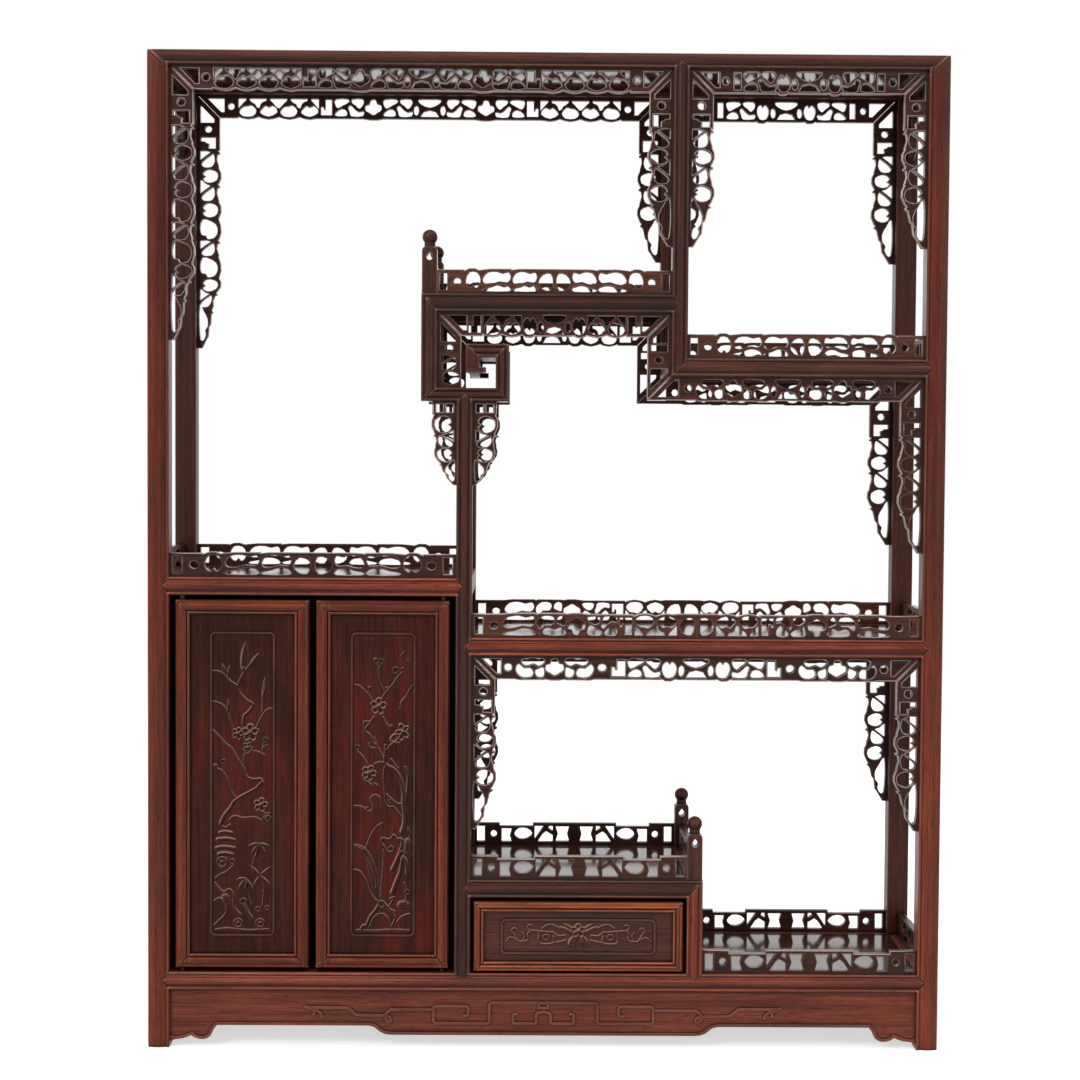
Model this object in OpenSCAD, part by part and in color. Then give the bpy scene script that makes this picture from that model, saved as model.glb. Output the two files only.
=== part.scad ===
// Tabletop curio cabinet in carved hardwood: staggered shelves with pierced friezes and galleries,
// a hooked box, a cupboard with two pivoting doors and one drawer.
// Inside the modules x runs from the left face, y from the front face and z from the floor.

/* [Cabinet] */
// Width over the outer posts
cabinet_w = 600; // [570:1:660]
// Depth over the outer posts
cabinet_d = 156; // [146:1:200]
// Height over the top frame
cabinet_h = 750; // [735:1:820]

/* [Frame members] */
// Side of the square corner posts
post_w = 17; // [16:0.5:19]
// Height of the top frame
top_rail_h = 12; // [11:0.5:15]
// Height of the shelf and base rails
rail_h = 13.5; // [12:0.5:15]
// Width of the inner posts
member_w = 12; // [11:0.5:13]
// Depth of the inner posts and rails
member_d = 15; // [14:0.5:16]
// Width of the members of the hook
hook_w = 10; // [9:0.5:11]
// How far a pointed shoulder runs into the member it meets
point_l = 5; // [3.5:0.5:5.5]
// Depth of a pointed shoulder behind the face
point_d = 4; // [3:0.5:5]
// Radius of the beads along the members
bead_r = 1.1; // [0.9:0.1:1.3]
// Width of the groove beside a bead
groove_w = 0.6; // [0.4:0.1:0.8]
// Glue line between pieces of one group
glue_gap = 0.1; // [0.05:0.05:0.2]

/* [Places of the inner posts] */
// Middle of the divider post between cupboard and shelves
divider_x = 238.2; // [225:1:252]
// Middle of the upper post
upper_post_x = 398.7; // [380:1:420]
// Middle of the post beside the drawer
drawer_post_x = 414; // [400:1:430]

/* [Heights of the openings] */
// Height of the cupboard floor over the ground
base_z = 57.5; // [54:0.5:62]
// Room for the drawer, over the floor
drawer_room_h = 57.7; // [52:0.5:64]
// Over the shelf on the cupboard, up to the top frame
left_niche_h = 381.5; // [350:1:410]
// Over the upper shelf, up to the top frame
upper_niche_h = 168.2; // [155:1:185]
// Over the right shelf, up to the top frame
right_niche_h = 215.3; // [200:1:235]
// Over the middle shelf, up to the right shelf
middle_niche_h = 197.2; // [180:1:215]

/* [Hooked box] */
// Width of the hooked box, whose middle is over the divider post
hook_box_w = 65.8; // [62:0.2:72]
// From the upper shelf down to the lower bar
hook_box_h = 56.8; // [53:0.2:62]
// From the upper shelf down to the upper bar of the hook
hook_top_gap = 23.8; // [22:0.2:25]
// Length of the upper bar of the hook
hook_bar_l = 32.3; // [28:0.1:34]
// Height of the end of the hook, from its top
hook_end_h = 21.5; // [19:0.5:23]
// Length of the little foot at that end
foot_l = 5; // [3:0.5:7]
// Height of that foot
foot_h = 4; // [3:0.5:5]

/* [Boards] */
// Thickness of the shelf boards
shelf_t = 6; // [5:0.5:8]
// Length of the tongue of a board in its groove
tongue_l = 3; // [2:0.5:4]
// Thickness of that tongue
tongue_t = 2.4; // [2:0.2:3]
// Thickness of the wall panels
wall_t = 4.5; // [4:0.5:5.5]
// How far the wall panels lie behind the faces of the frame
wall_inset = 5; // [4:0.5:6]
// Thickness of the boards of the hook
hook_board_t = 7; // [6:0.5:8]

/* [Friezes] */
// Height of the friezes under the rails
frieze_h = 18; // [16.5:0.5:19]
// Thickness of the frieze boards
frieze_t = 5; // [4:0.5:6]
// How far the friezes lie behind the face of the frame
frieze_inset = 4; // [3:0.5:5]
// Length of the long drop under the top frame
long_drop = 204; // [190:1:215]
// Length of the drops under the top frame and the right shelf
short_drop = 132; // [120:1:140]
// Height left free between the drops of the middle shelf and the gallery of the drawer shelf
low_drop_gap = 20; // [15:1:40]
// Length of the spandrels beside the divider post
spandrel_l = 63; // [56:1:70]
// Length of the drops of the end friezes
end_drop = 50; // [44:1:56]

/* [Galleries] */
// Height of the galleries on the shelves
gallery_h = 18; // [16:0.5:20]
// Thickness of the gallery boards
gallery_t = 5; // [4:0.5:6]
// How far the galleries stand behind the face of the frame
gallery_inset = 3; // [2:0.5:4]
// Height of the finial posts over their shelf
finial_h = 48; // [42:1:56]
// Width and depth of the finial posts
finial_w = 11.4; // [10.5:0.1:12]

/* [Fretwork] */
// Width of the solid bar beside a mitre, measured along the board
mitre_bar = 5.5; // [4.5:0.1:6]
// Width of the raised lines carved on the apron
line_w = 2; // [1.4:0.1:2.2]

/* [Apron] */
// Thickness of the apron boards
apron_t = 7; // [6:0.5:8]
// How far the apron lies behind the face of the posts
apron_inset = 4; // [3:0.5:5]
// Height of the feet cut in the apron over the floor
apron_foot_z = 4; // [3:0.5:6]
// Height of the apron's edge over the floor, beside the feet
apron_flat_z = 16.5; // [15:0.5:18]
// Height of the apron's lower edge over the floor, in the middle
apron_low_z = 9.5; // [8:0.5:11]
// Length of the apron from a post to the step down
apron_step_x = 150; // [130:1:165]
// Width of the bead along the lower edge of the apron
apron_bead_w = 2.2; // [1.4:0.2:2.6]

/* [Doors] */
// Width of the frame of a door
door_frame_w = 11; // [10:0.5:12]
// Thickness of a door
door_t = 14; // [12:0.5:15]
// How far the doors and the drawer front lie behind the face
front_inset = 2; // [1:0.5:3]
// Gap between a door and the post beside it
door_side_gap = 4.3; // [3.5:0.1:5]
// Gap between the two doors
door_mid_gap = 5.2; // [3:0.1:6]
// Gap under the doors
door_low_gap = 2.4; // [1.5:0.1:3]
// Gap over the doors
door_top_gap = 3.4; // [2:0.1:4]
// Thickness of the door panels
door_panel_t = 5; // [4:0.5:6]
// How far the panels lie behind the face of their frame
panel_recess = 4; // [3:0.5:5]
// Diameter of the pivot pins
pin_d = 4; // [3.5:0.5:5]
// Length of a pivot pin inside its hole
pin_l = 4; // [3:0.5:5]
// Distance of the pivot from the edge and from the face of the door
pin_edge = 5; // [4.5:0.5:5.5]
// Running clearance round a pivot pin
pin_fit = 0.05; // [0.03:0.01:0.08]
// Distance of the carved border from the door frame, at the sides
border_side = 15; // [12:0.5:18]
// Distance of the carved border from the door frame, above and below
border_end = 13.5; // [12:0.5:16]

/* [Drawer] */
// Width of the frame of the drawer front
drawer_frame_w = 8; // [7:0.5:9]
// Thickness of the drawer front
drawer_front_t = 12; // [10:0.5:14]
// Gap between the drawer front and the posts beside it
drawer_side_gap = 2.2; // [1.5:0.1:3]
// Gap over the drawer front
drawer_top_gap = 3.4; // [2:0.1:5]
// Running clearance under the drawer
drawer_fit = 0.3; // [0.2:0.05:0.5]
// Thickness of the sides and the back of the drawer
drawer_wall = 5; // [4:0.5:6]
// Thickness of the drawer bottom
drawer_floor = 4; // [3:0.5:5]
// Length of the drawer with its front
drawer_l = 128; // [118:1:130]
// How far the drawer front stands past the sides of its box
drawer_box_edge = 1.5; // [1:0.5:3]
// Width and height of the strips that guide the drawer box
guide_w = 6; // [5:0.5:8]
// Gap between the drawer box and a guide
guide_fit = 0.4; // [0.3:0.1:0.8]
// Distance of the carved border from the frame of the drawer front, at the ends
drawer_border_side = 13; // [10:0.5:16]
// Distance of the carved border from that frame, above and below
drawer_border_end = 5.5; // [4.5:0.5:6.5]

/* [Hidden] */

far = 30;          // reach of a cutter past what it cuts
lap = 1;           // overlap of a shoulder with its own rail
ridge_h = 1.1;     // height of the carved borders, beads and lines
corner_r = 2.5;    // rounding of the outer arris of posts and rails
face_drop = 1;     // how far a crowned face falls at its edges

post_color = [0.44, 0.21, 0.17];
rail_color = [0.52, 0.25, 0.17];
board_color = [0.30, 0.15, 0.13];
fret_color = [0.27, 0.17, 0.16];

divider_l = divider_x - member_w/2;
divider_r = divider_x + member_w/2;
hook_l = divider_x - hook_box_w/2;
hook_x = hook_l + member_w/2;
hook_in = hook_l + member_w;
hook_out = divider_x + hook_box_w/2;
hook_right_x = hook_out - hook_w/2;
upper_l = upper_post_x - member_w/2;
upper_r = upper_post_x + member_w/2;
drawer_post_l = drawer_post_x - member_w/2;
drawer_post_r = drawer_post_x + member_w/2;
right_in = cabinet_w - post_w;
top_under = cabinet_h - top_rail_h;
upper_shelf_z = top_under - upper_niche_h;
right_shelf_z = top_under - right_niche_h;
left_shelf_z = top_under - left_niche_h;
middle_shelf_z = right_shelf_z - rail_h - middle_niche_h;
drawer_shelf_z = base_z + drawer_room_h + rail_h;
hook_low_z = upper_shelf_z - rail_h - hook_box_h;
hook_top_z = upper_shelf_z - rail_h - hook_top_gap;
hook_under = hook_low_z - hook_w;
hook_end_z = hook_top_z - hook_end_h;
hook_end_x = hook_out - hook_bar_l + hook_w;
door_bottom = base_z + door_low_gap;
door_top = left_shelf_z - rail_h - door_top_gap;
door_w = (divider_l - post_w - 2*door_side_gap - door_mid_gap)/2;
door_left_x = post_w + door_side_gap;
door_right_x = divider_l - door_side_gap - door_w;
pivot_y = front_inset + pin_edge;
drawer_x0 = divider_r + drawer_side_gap;
drawer_x1 = drawer_post_l - drawer_side_gap;
drawer_z0 = base_z + drawer_fit;
drawer_z1 = drawer_shelf_z - rail_h - drawer_top_gap;

// Curves and outlines

function arc(cx, cy, r, a0, a1, n = 6) =
    [for (i = [0:n]) let (a = a0 + (a1 - a0)*i/n) [cx + r*cos(a), cy + r*sin(a)]];

// A shallow bow over the chord from a to b at depth v, rising by h
function bow(a, b, v, h, n = 6) =
    let (c = abs(b - a)/2, r = (c*c + h*h)/(2*h), reach = asin(c/r), s = sign(b - a))
    [for (i = [0:n]) let (t = -reach + 2*reach*i/n) [(a + b)/2 + s*r*sin(t), v - r*cos(t) + r - h]];

function swap(pts) = [for (p = pts) [p[1], p[0]]];
function flip(pts) = [for (i = [len(pts) - 1:-1:0]) pts[i]];

// Section of an inner member, with a bead and a groove at both edges of a crowned face
function reeded(w, d) = let (e = w/2 - 2*bead_r - groove_w) concat(
    [[-w/2, d]], arc(-w/2 + bead_r, bead_r, bead_r, 180, 360),
    bow(-e, e, bead_r, bead_r),
    arc(w/2 - bead_r, bead_r, bead_r, 180, 360), [[w/2, d]]);

// One crowned face from the inner edge at w to the outer arris, with a bead at the inner edge
function beaded_face(w) = concat(
    arc(w - bead_r, bead_r, bead_r, 0, -180),
    bow(w - 2*bead_r - groove_w, corner_r, face_drop, face_drop));
function arris() = arc(corner_r, corner_r, corner_r - face_drop, 270, 180, 3);

// Section of a corner post with its outer arris at the origin
function post_section(w) = concat([[w, w]], beaded_face(w), arris(), swap(flip(beaded_face(w))));

// Section of a top rail, beaded in front and crowned on top
function top_section(h, d) = concat([[h, d]], beaded_face(h), arris(),
    swap(bow(corner_r, d, face_drop, face_drop)));

function catmull(p, i, t) =
    let (a = p[max(i - 1, 0)], b = p[i], c = p[i + 1], d = p[min(i + 2, len(p) - 1)])
    0.5*(2*b + (c - a)*t + (2*a - 5*b + 4*c - d)*t*t + (3*b - a - 3*c + d)*t*t*t);
// A smooth line through hand-set points, with k steps between two of them
function smooth(p, k = 2) = concat([for (i = [0:len(p) - 2]) for (j = [0:k - 1]) catmull(p, i, j/k)],
    [p[len(p) - 1]]);

function across(p, i) = let (d = p[min(i + 1, len(p) - 1)] - p[max(i - 1, 0)]) [-d[1], d[0]]/norm(d);
function ribbon(p, t) = concat([for (i = [0:len(p) - 1]) p[i] + across(p, i)*t/2],
    [for (i = [len(p) - 1:-1:0]) p[i] - across(p, i)*t/2]);

// Placing and cutting

module placed() {
    translate([-cabinet_w/2, -cabinet_d/2, 0]) children();
}
module from_back() {
    translate([0, cabinet_d, 0]) mirror([0, 1, 0]) children();
}
module from_right() {
    translate([cabinet_w, 0, 0]) mirror([1, 0, 0]) children();
}
// Turns a front view onto the left end, so that its x runs from back to front
module on_left_end(x = 0) {
    translate([x, cabinet_d, 0]) rotate([0, 0, -90]) children();
}
// An upright board from a drawing of its front, d thick and y0 behind the face
module upright(d, y0 = 0) {
    translate([0, y0 + d, 0]) rotate([90, 0, 0]) linear_extrude(d) children();
}

// Moulded members

module long_rail(x0, x1, z_top, h) {
    translate([x0 - far, 0, z_top - h/2]) rotate([90, 0, 90])
        linear_extrude(x1 - x0 + 2*far) polygon(swap(reeded(h, member_d)));
}
module long_post(x, w, z0, z1) {
    translate([x, 0, z0 - far]) linear_extrude(z1 - z0 + 2*far) polygon(reeded(w, member_d));
}
// The point of a shoulder at x, z, turned by a; it stands on a member of width w
module point_2d(x, z, a, w) {
    translate([x, z]) rotate(a) polygon([[-lap, -w/2], [0, -w/2], [point_l, 0], [0, w/2], [-lap, w/2]]);
}
// Socket for such a point
module socket(x, z, a, w) {
    translate([0, -lap, 0]) upright(point_d + lap) point_2d(x, z, a, w);
}
module rail_body(x0, x1, z_top, h, outline, point_left, point_right) {
    intersection() {
        long_rail(x0, x1, z_top, h);
        union() {
            upright(member_d) polygon(outline);
            if (point_left) upright(point_d) point_2d(x0, z_top - h/2, 180, h);
            if (point_right) upright(point_d) point_2d(x1, z_top - h/2, 0, h);
        }
    }
}
// A rail with pointed shoulders at both ends
module rail(x0, x1, z_top) {
    z0 = z_top - rail_h;
    rail_body(x0, x1, z_top, rail_h, [[x0, z0], [x1, z0], [x1, z_top], [x0, z_top]], true, true);
}
module post_body(x, z0, z1, outline, point_low, point_high) {
    intersection() {
        long_post(x, member_w, z0, z1);
        union() {
            upright(member_d) polygon(outline);
            if (point_low) upright(point_d) point_2d(x, z0, -90, member_w);
            if (point_high) upright(point_d) point_2d(x, z1, 90, member_w);
        }
    }
}

// Outer frame

module front_left_post() {
    difference() {
        linear_extrude(cabinet_h) polygon(post_section(post_w));
        mitre_top();
        socket(post_w, left_shelf_z - rail_h/2, 180, rail_h);
        socket(post_w, base_z - rail_h/2, 180, rail_h);
        end_sockets([left_shelf_z, base_z]);
    }
}
module front_right_post() {
    difference() {
        from_right() linear_extrude(cabinet_h) polygon(post_section(post_w));
        from_right() mitre_top();
        for (z = [right_shelf_z, middle_shelf_z, base_z]) socket(right_in, z - rail_h/2, 0, rail_h);
        from_right() end_sockets([right_shelf_z, middle_shelf_z, base_z]);
    }
}
// Sockets in the end face of a left front post for the points of the end rails
module end_sockets(levels) {
    for (z = levels) on_left_end() socket(cabinet_d - post_w, z - rail_h/2, 0, rail_h);
}
// What the top rails take from the top of a left front post
module mitre_top() {
    drop = top_rail_h + far*top_rail_h/post_w;
    upright(post_w + 2*far, -far)
        polygon([[0, cabinet_h], [post_w + far, cabinet_h - drop], [post_w + far, cabinet_h + far],
                 [0, cabinet_h + far]]);
    on_left_end() upright(post_w + 2*far, -far)
        polygon([[cabinet_d, cabinet_h], [cabinet_d - post_w - far, cabinet_h - drop],
                 [cabinet_d - post_w - far, cabinet_h + far], [cabinet_d, cabinet_h + far]]);
}

module post_front_left() { color(post_color) placed() front_left_post(); }
module post_front_right() { color(post_color) placed() front_right_post(); }
module post_back_left() { color(post_color) placed() from_back() front_left_post(); }
module post_back_right() { color(post_color) placed() from_back() front_right_post(); }

// A top rail of length l in front view, mitred to the posts and to the end rails
module top_rail(l) {
    slope = top_rail_h/post_w;
    difference() {
        translate([0, 0, cabinet_h]) rotate([0, 90, 0]) linear_extrude(l)
            polygon(top_section(top_rail_h, post_w));
        for (side = [0, 1]) translate([side*l, 0, 0]) mirror([side, 0, 0]) {
            translate([0, -far, 0]) upright(post_w + 2*far)
                polygon([[-far, cabinet_h + far*slope], [post_w + glue_gap, top_under - glue_gap*slope],
                         [post_w + glue_gap, top_under - far], [-far, top_under - far]]);
            translate([0, 0, top_under - far]) linear_extrude(top_rail_h + 2*far)
                polygon([[glue_gap - far, -far], [glue_gap + post_w + far, post_w + far],
                         [-far, post_w + far]]);
        }
    }
}
module top_board(grow, t) {
    translate([post_w - grow, post_w - grow, 0])
        cube([cabinet_w - 2*post_w + 2*grow, cabinet_d - 2*post_w + 2*grow, t]);
}
module top_tongue() {
    translate([0, 0, cabinet_h - face_drop - shelf_t/2 - tongue_t/2]) top_board(tongue_l, tongue_t);
}
module top_rails() {
    color(post_color) placed() difference() {
        union() {
            top_rail(cabinet_w);
            from_back() top_rail(cabinet_w);
            on_left_end() top_rail(cabinet_d);
            from_right() on_left_end() top_rail(cabinet_d);
        }
        top_tongue();
        both_frames() socket(upper_post_x, top_under, 90, member_w);
    }
}
module top_panel() {
    color(board_color) placed() {
        translate([0, 0, cabinet_h - face_drop - shelf_t]) top_board(0, shelf_t);
        intersection() {
            top_tongue();
            translate([post_w - tongue_l, post_w - tongue_l, 0]) cube([cabinet_w, cabinet_d, cabinet_h]);
        }
    }
}

module both_frames() {
    children();
    from_back() children();
}

// Shelves: rails in front and behind, rails at the ends, and a board in their grooves

module end_rail(z_top) {
    on_left_end() rail(post_w, cabinet_d - post_w, z_top);
}
module inner_end_rail(x0, x1, z_top) {
    translate([x0, member_d + glue_gap, z_top - rail_h])
        cube([x1 - x0, cabinet_d - 2*member_d - 2*glue_gap, rail_h]);
}
module board_plate(x0, x1, z_top, grow_x, grow_y, t) {
    translate([x0 - grow_x, member_d - grow_y, z_top - t])
        cube([x1 - x0 + 2*grow_x, cabinet_d - 2*member_d + 2*grow_y, t]);
}
// Room that the corner posts take from a board
module post_room() {
    for (x = [0, right_in]) for (y = [0, cabinet_d - post_w])
        translate([x, y, 0]) cube([post_w, post_w, cabinet_h]);
}
// The tongue runs along the four sides and leaves the corners free
module shelf_tongue(x0, x1, z_top) {
    z = z_top - (shelf_t - tongue_t)/2;
    board_plate(x0, x1, z, tongue_l, 0, tongue_t);
    board_plate(x0, x1, z, 0, tongue_l, tongue_t);
}
module shelf_board(x0, x1, z_top) {
    difference() {
        union() {
            board_plate(x0, x1, z_top, 0, 0, shelf_t);
            shelf_tongue(x0, x1, z_top);
        }
        post_room();
    }
}

module upper_shelf_rails() {
    z0 = upper_shelf_z - rail_h;
    color(rail_color) placed() difference() {
        union() {
            both_frames() rail_body(hook_l, upper_l, upper_shelf_z, rail_h,
                [[hook_in, z0], [upper_l, z0], [upper_l, upper_shelf_z], [hook_l, upper_shelf_z]],
                false, true);
            inner_end_rail(hook_l, hook_in, upper_shelf_z);
            inner_end_rail(upper_l, upper_r, upper_shelf_z);
        }
        shelf_tongue(hook_in, upper_l, upper_shelf_z);
    }
}
module upper_shelf_panel() {
    color(board_color) placed() shelf_board(hook_in, upper_l, upper_shelf_z);
}
module right_shelf_rails() {
    z0 = right_shelf_z - rail_h;
    color(rail_color) placed() difference() {
        union() {
            both_frames() rail_body(upper_l, right_in, right_shelf_z, rail_h,
                [[upper_l, z0], [right_in, z0], [right_in, right_shelf_z], [upper_r, right_shelf_z]],
                false, true);
            inner_end_rail(upper_l, upper_r, right_shelf_z);
            from_right() end_rail(right_shelf_z);
        }
        shelf_tongue(upper_r, cabinet_w - member_d, right_shelf_z);
    }
}
module right_shelf_panel() {
    color(board_color) placed() shelf_board(upper_r, cabinet_w - member_d, right_shelf_z);
}
// Holes for the pivot pins of the doors, from the opening into the rail
module pivot_holes(z) {
    for (x = [door_left_x + pin_edge, door_right_x + door_w - pin_edge])
        translate([x, pivot_y, z])
            cylinder(d = pin_d + 2*pin_fit, h = 2*(pin_l + glue_gap), center = true, $fn = 32);
}
module left_shelf_rails() {
    color(rail_color) placed() difference() {
        union() {
            both_frames() rail(post_w, divider_l, left_shelf_z);
            end_rail(left_shelf_z);
            inner_end_rail(divider_l, divider_r, left_shelf_z);
        }
        shelf_tongue(member_d, divider_l, left_shelf_z);
        pivot_holes(left_shelf_z - rail_h);
    }
}
module left_shelf_panel() {
    color(board_color) placed() shelf_board(member_d, divider_l, left_shelf_z);
}
module middle_shelf_rails() {
    color(rail_color) placed() difference() {
        union() {
            both_frames() rail(divider_r, right_in, middle_shelf_z);
            inner_end_rail(divider_x, divider_r, middle_shelf_z);
            from_right() end_rail(middle_shelf_z);
        }
        shelf_tongue(divider_r, cabinet_w - member_d, middle_shelf_z);
    }
}
module middle_shelf_panel() {
    color(board_color) placed() shelf_board(divider_r, cabinet_w - member_d, middle_shelf_z);
}
module drawer_shelf_rails() {
    z0 = drawer_shelf_z - rail_h;
    color(rail_color) placed() difference() {
        union() {
            both_frames() rail_body(divider_r, drawer_post_r, drawer_shelf_z, rail_h,
                [[divider_r, z0], [drawer_post_l, z0], [drawer_post_r, drawer_shelf_z],
                 [divider_r, drawer_shelf_z]], true, false);
            inner_end_rail(divider_x, divider_r, drawer_shelf_z);
            inner_end_rail(drawer_post_l, drawer_post_r, drawer_shelf_z);
        }
        shelf_tongue(divider_r, drawer_post_l, drawer_shelf_z);
    }
}
module drawer_shelf_panel() {
    color(board_color) placed() shelf_board(divider_r, drawer_post_l, drawer_shelf_z);
}
module base_rails() {
    color(rail_color) placed() difference() {
        union() {
            both_frames() rail(post_w, right_in, base_z);
            end_rail(base_z);
            from_right() end_rail(base_z);
        }
        shelf_tongue(member_d, cabinet_w - member_d, base_z);
        pivot_holes(base_z);
        both_frames() for (x = [divider_x, drawer_post_x]) socket(x, base_z, -90, member_w);
    }
}
module base_panel() {
    color(board_color) placed() shelf_board(member_d, cabinet_w - member_d, base_z);
}

// Inner posts

module divider_posts() {
    color(post_color) placed() both_frames() difference() {
        post_body(divider_x, base_z, hook_under,
            [[divider_l, base_z], [divider_r, base_z], [divider_r, hook_under], [divider_l, hook_under]],
            true, true);
        socket(divider_l, left_shelf_z - rail_h/2, 0, rail_h);
        socket(divider_r, middle_shelf_z - rail_h/2, 180, rail_h);
        socket(divider_r, drawer_shelf_z - rail_h/2, 180, rail_h);
    }
}
module upper_posts() {
    z0 = right_shelf_z - rail_h;
    color(post_color) placed() both_frames() difference() {
        post_body(upper_post_x, z0, top_under,
            [[upper_l, z0], [upper_r, right_shelf_z], [upper_r, top_under], [upper_l, top_under]],
            false, true);
        socket(upper_l, upper_shelf_z - rail_h/2, 0, rail_h);
    }
}
module drawer_posts() {
    z1 = drawer_shelf_z - rail_h;
    color(post_color) placed() both_frames()
        post_body(drawer_post_x, base_z, drawer_shelf_z,
            [[drawer_post_l, base_z], [drawer_post_r, base_z], [drawer_post_r, drawer_shelf_z],
             [drawer_post_l, z1]], true, false);
}

// The hooked box: an upright, a bar, an upright, a bar and a hook, mitred to each other

module hook_member(outline, upright_bar, at, w) {
    intersection() {
        if (upright_bar) long_post(at, w, hook_under, upper_shelf_z);
        else long_rail(hook_l, hook_out, at + w/2, w);
        upright(member_d) offset(delta = -glue_gap/2) polygon(outline);
    }
}
module hook_frame() {
    rail_z0 = upper_shelf_z - rail_h;
    hook_top_in = hook_top_z - hook_w;
    right_in_x = hook_out - hook_w;
    end_l = hook_end_x;
    difference() {
        union() {
            hook_member([[hook_l, hook_under], [hook_in, hook_low_z], [hook_in, rail_z0],
                         [hook_l, upper_shelf_z]], true, hook_x, member_w);
            hook_member([[hook_l, hook_under], [hook_out, hook_under], [right_in_x, hook_low_z],
                         [hook_in, hook_low_z]], false, hook_low_z - hook_w/2, hook_w);
            hook_member([[hook_out, hook_under], [hook_out, hook_top_z], [right_in_x, hook_top_in],
                         [right_in_x, hook_low_z]], true, hook_right_x, hook_w);
            hook_member([[end_l - hook_w, hook_top_z], [end_l, hook_top_in], [right_in_x, hook_top_in],
                         [hook_out, hook_top_z]], false, hook_top_z - hook_w/2, hook_w);
            hook_member([[end_l - hook_w, hook_top_z], [end_l - hook_w, hook_end_z],
                         [end_l + foot_l, hook_end_z], [end_l + foot_l, hook_end_z + foot_h],
                         [end_l, hook_end_z + foot_h], [end_l, hook_top_in]], true,
                        end_l - hook_w/2, hook_w + 2*foot_l);
        }
        socket(divider_x, hook_under, 90, member_w);
    }
}
module hook_frames() {
    color(post_color) placed() both_frames() hook_frame();
}
module hook_boards() {
    inset = (hook_w - hook_board_t)/2;
    right_x = hook_out - inset - hook_board_t;
    end_x = hook_end_x - inset - hook_board_t;
    z_low = hook_low_z - inset - hook_board_t;
    z_top = hook_top_z - inset;
    color(board_color) placed() upright_span() {
        translate([hook_l + inset, z_low]) square([right_x - glue_gap - hook_l - inset, hook_board_t]);
        translate([right_x, z_low]) square([hook_board_t, z_top - z_low]);
        translate([end_x, z_top - hook_board_t]) square([right_x - glue_gap - end_x, hook_board_t]);
        translate([end_x, hook_end_z]) square([hook_board_t, z_top - hook_board_t - glue_gap - hook_end_z]);
    }
}
// Each drawing becomes a board that runs from the front frame to the back frame
module upright_span() {
    for (i = [0:$children - 1]) upright(cabinet_d - 2*member_d, member_d) children(i);
}

// Pierced boards. A figure is a list of openings and an edge, drawn in a cell 1 long and 1 high,
// with the side that the board is fixed by at 0 and its free side at 1.

// A closed smooth line through hand-set points
function soft(p) = let (n = len(p)) [for (i = [0:n - 1]) for (t = [0, 0.5])
    let (a = p[(i + n - 1) % n], b = p[i], c = p[(i + 1) % n], d = p[(i + 2) % n])
    0.5*(2*b + (c - a)*t + (2*a - 5*b + 4*c - d)*t*t + (3*b - a - 3*c + d)*t*t*t)];
function oval(cx, cy, rx, ry, n = 8) = [for (i = [0:n - 1]) [cx + rx*cos(360*i/n), cy + ry*sin(360*i/n)]];
FLAT = [[0, 1], [1, 1]];

// Openings of a running vine: ovals in its lobes, with a bud or a hook that reaches in, and flat lenses
// between the lobes, whose 0 is where two lobes meet
BERRY = soft([[0.07, 0.72], [0.25, 0.5], [0.47, 0.47], [0.68, 0.43], [0.91, 0.68], [0.74, 0.92],
              [0.28, 0.93]]);
HOOKED = soft([[0.09, 0.76], [0.2, 0.56], [0.36, 0.44], [0.5, 0.52], [0.68, 0.44], [0.85, 0.54], [0.92, 0.76],
               [0.5, 0.94]]);
UNDER = [[-0.43, 0.13], [0.43, 0.13], [0.4, 0.22], [0.27, 0.34], [0.05, 0.56], [-0.06, 0.55], [-0.27, 0.33],
         [-0.4, 0.22]];
BUDDED = [[-0.43, 0.13], [0.43, 0.13], [0.38, 0.24], [0.24, 0.28], [0.14, 0.36], [0.05, 0.57], [-0.07, 0.52],
          [-0.15, 0.38], [-0.28, 0.32], [-0.4, 0.22]];
FIRST_HALF = [[0.04, 0.13], [0.43, 0.13], [0.4, 0.22], [0.27, 0.34], [0.04, 0.58]];
function shifted(pts, i, n) = [for (p = pts) [(i + p[0])/n, p[1]]];
// n lobes of the vine as one figure
function vine(n) = [
    concat([shifted(FIRST_HALF, 0, n), shifted([for (p = flip(FIRST_HALF)) [-p[0], p[1]]], n, n)],
        [for (i = [0:n - 1]) shifted(i % 2 == 0 ? BERRY : HOOKED, i, n)],
        [for (i = [1:n - 1]) shifted(i % 2 == 0 ? UNDER : BUDDED, i, n)]),
    [for (i = [0:n - 1]) for (p = [[0, 0.94], [0.22, 1.01], [0.5, 1.05], [0.78, 1.01]])
        [(i + p[0])/n, p[1]]]];

// Two leaves over and under a slanting stem
LEAF = [[soft([[0.03, 0.3], [0.08, 0.13], [0.44, 0.12], [0.5, 0.26], [0.3, 0.42], [0.12, 0.54]]),
         soft([[0.04, 0.86], [0.1, 0.68], [0.26, 0.56], [0.4, 0.64], [0.43, 0.86], [0.24, 0.9]]),
         soft([[0.6, 0.13], [0.93, 0.12], [0.97, 0.34], [0.84, 0.56], [0.72, 0.42], [0.6, 0.3]]),
         soft([[0.47, 0.5], [0.55, 0.4], [0.68, 0.58], [0.82, 0.7], [0.97, 0.66], [0.95, 0.88], [0.58, 0.9],
               [0.52, 0.7]])],
        [[0, 1], [1, 1]]];
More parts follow.
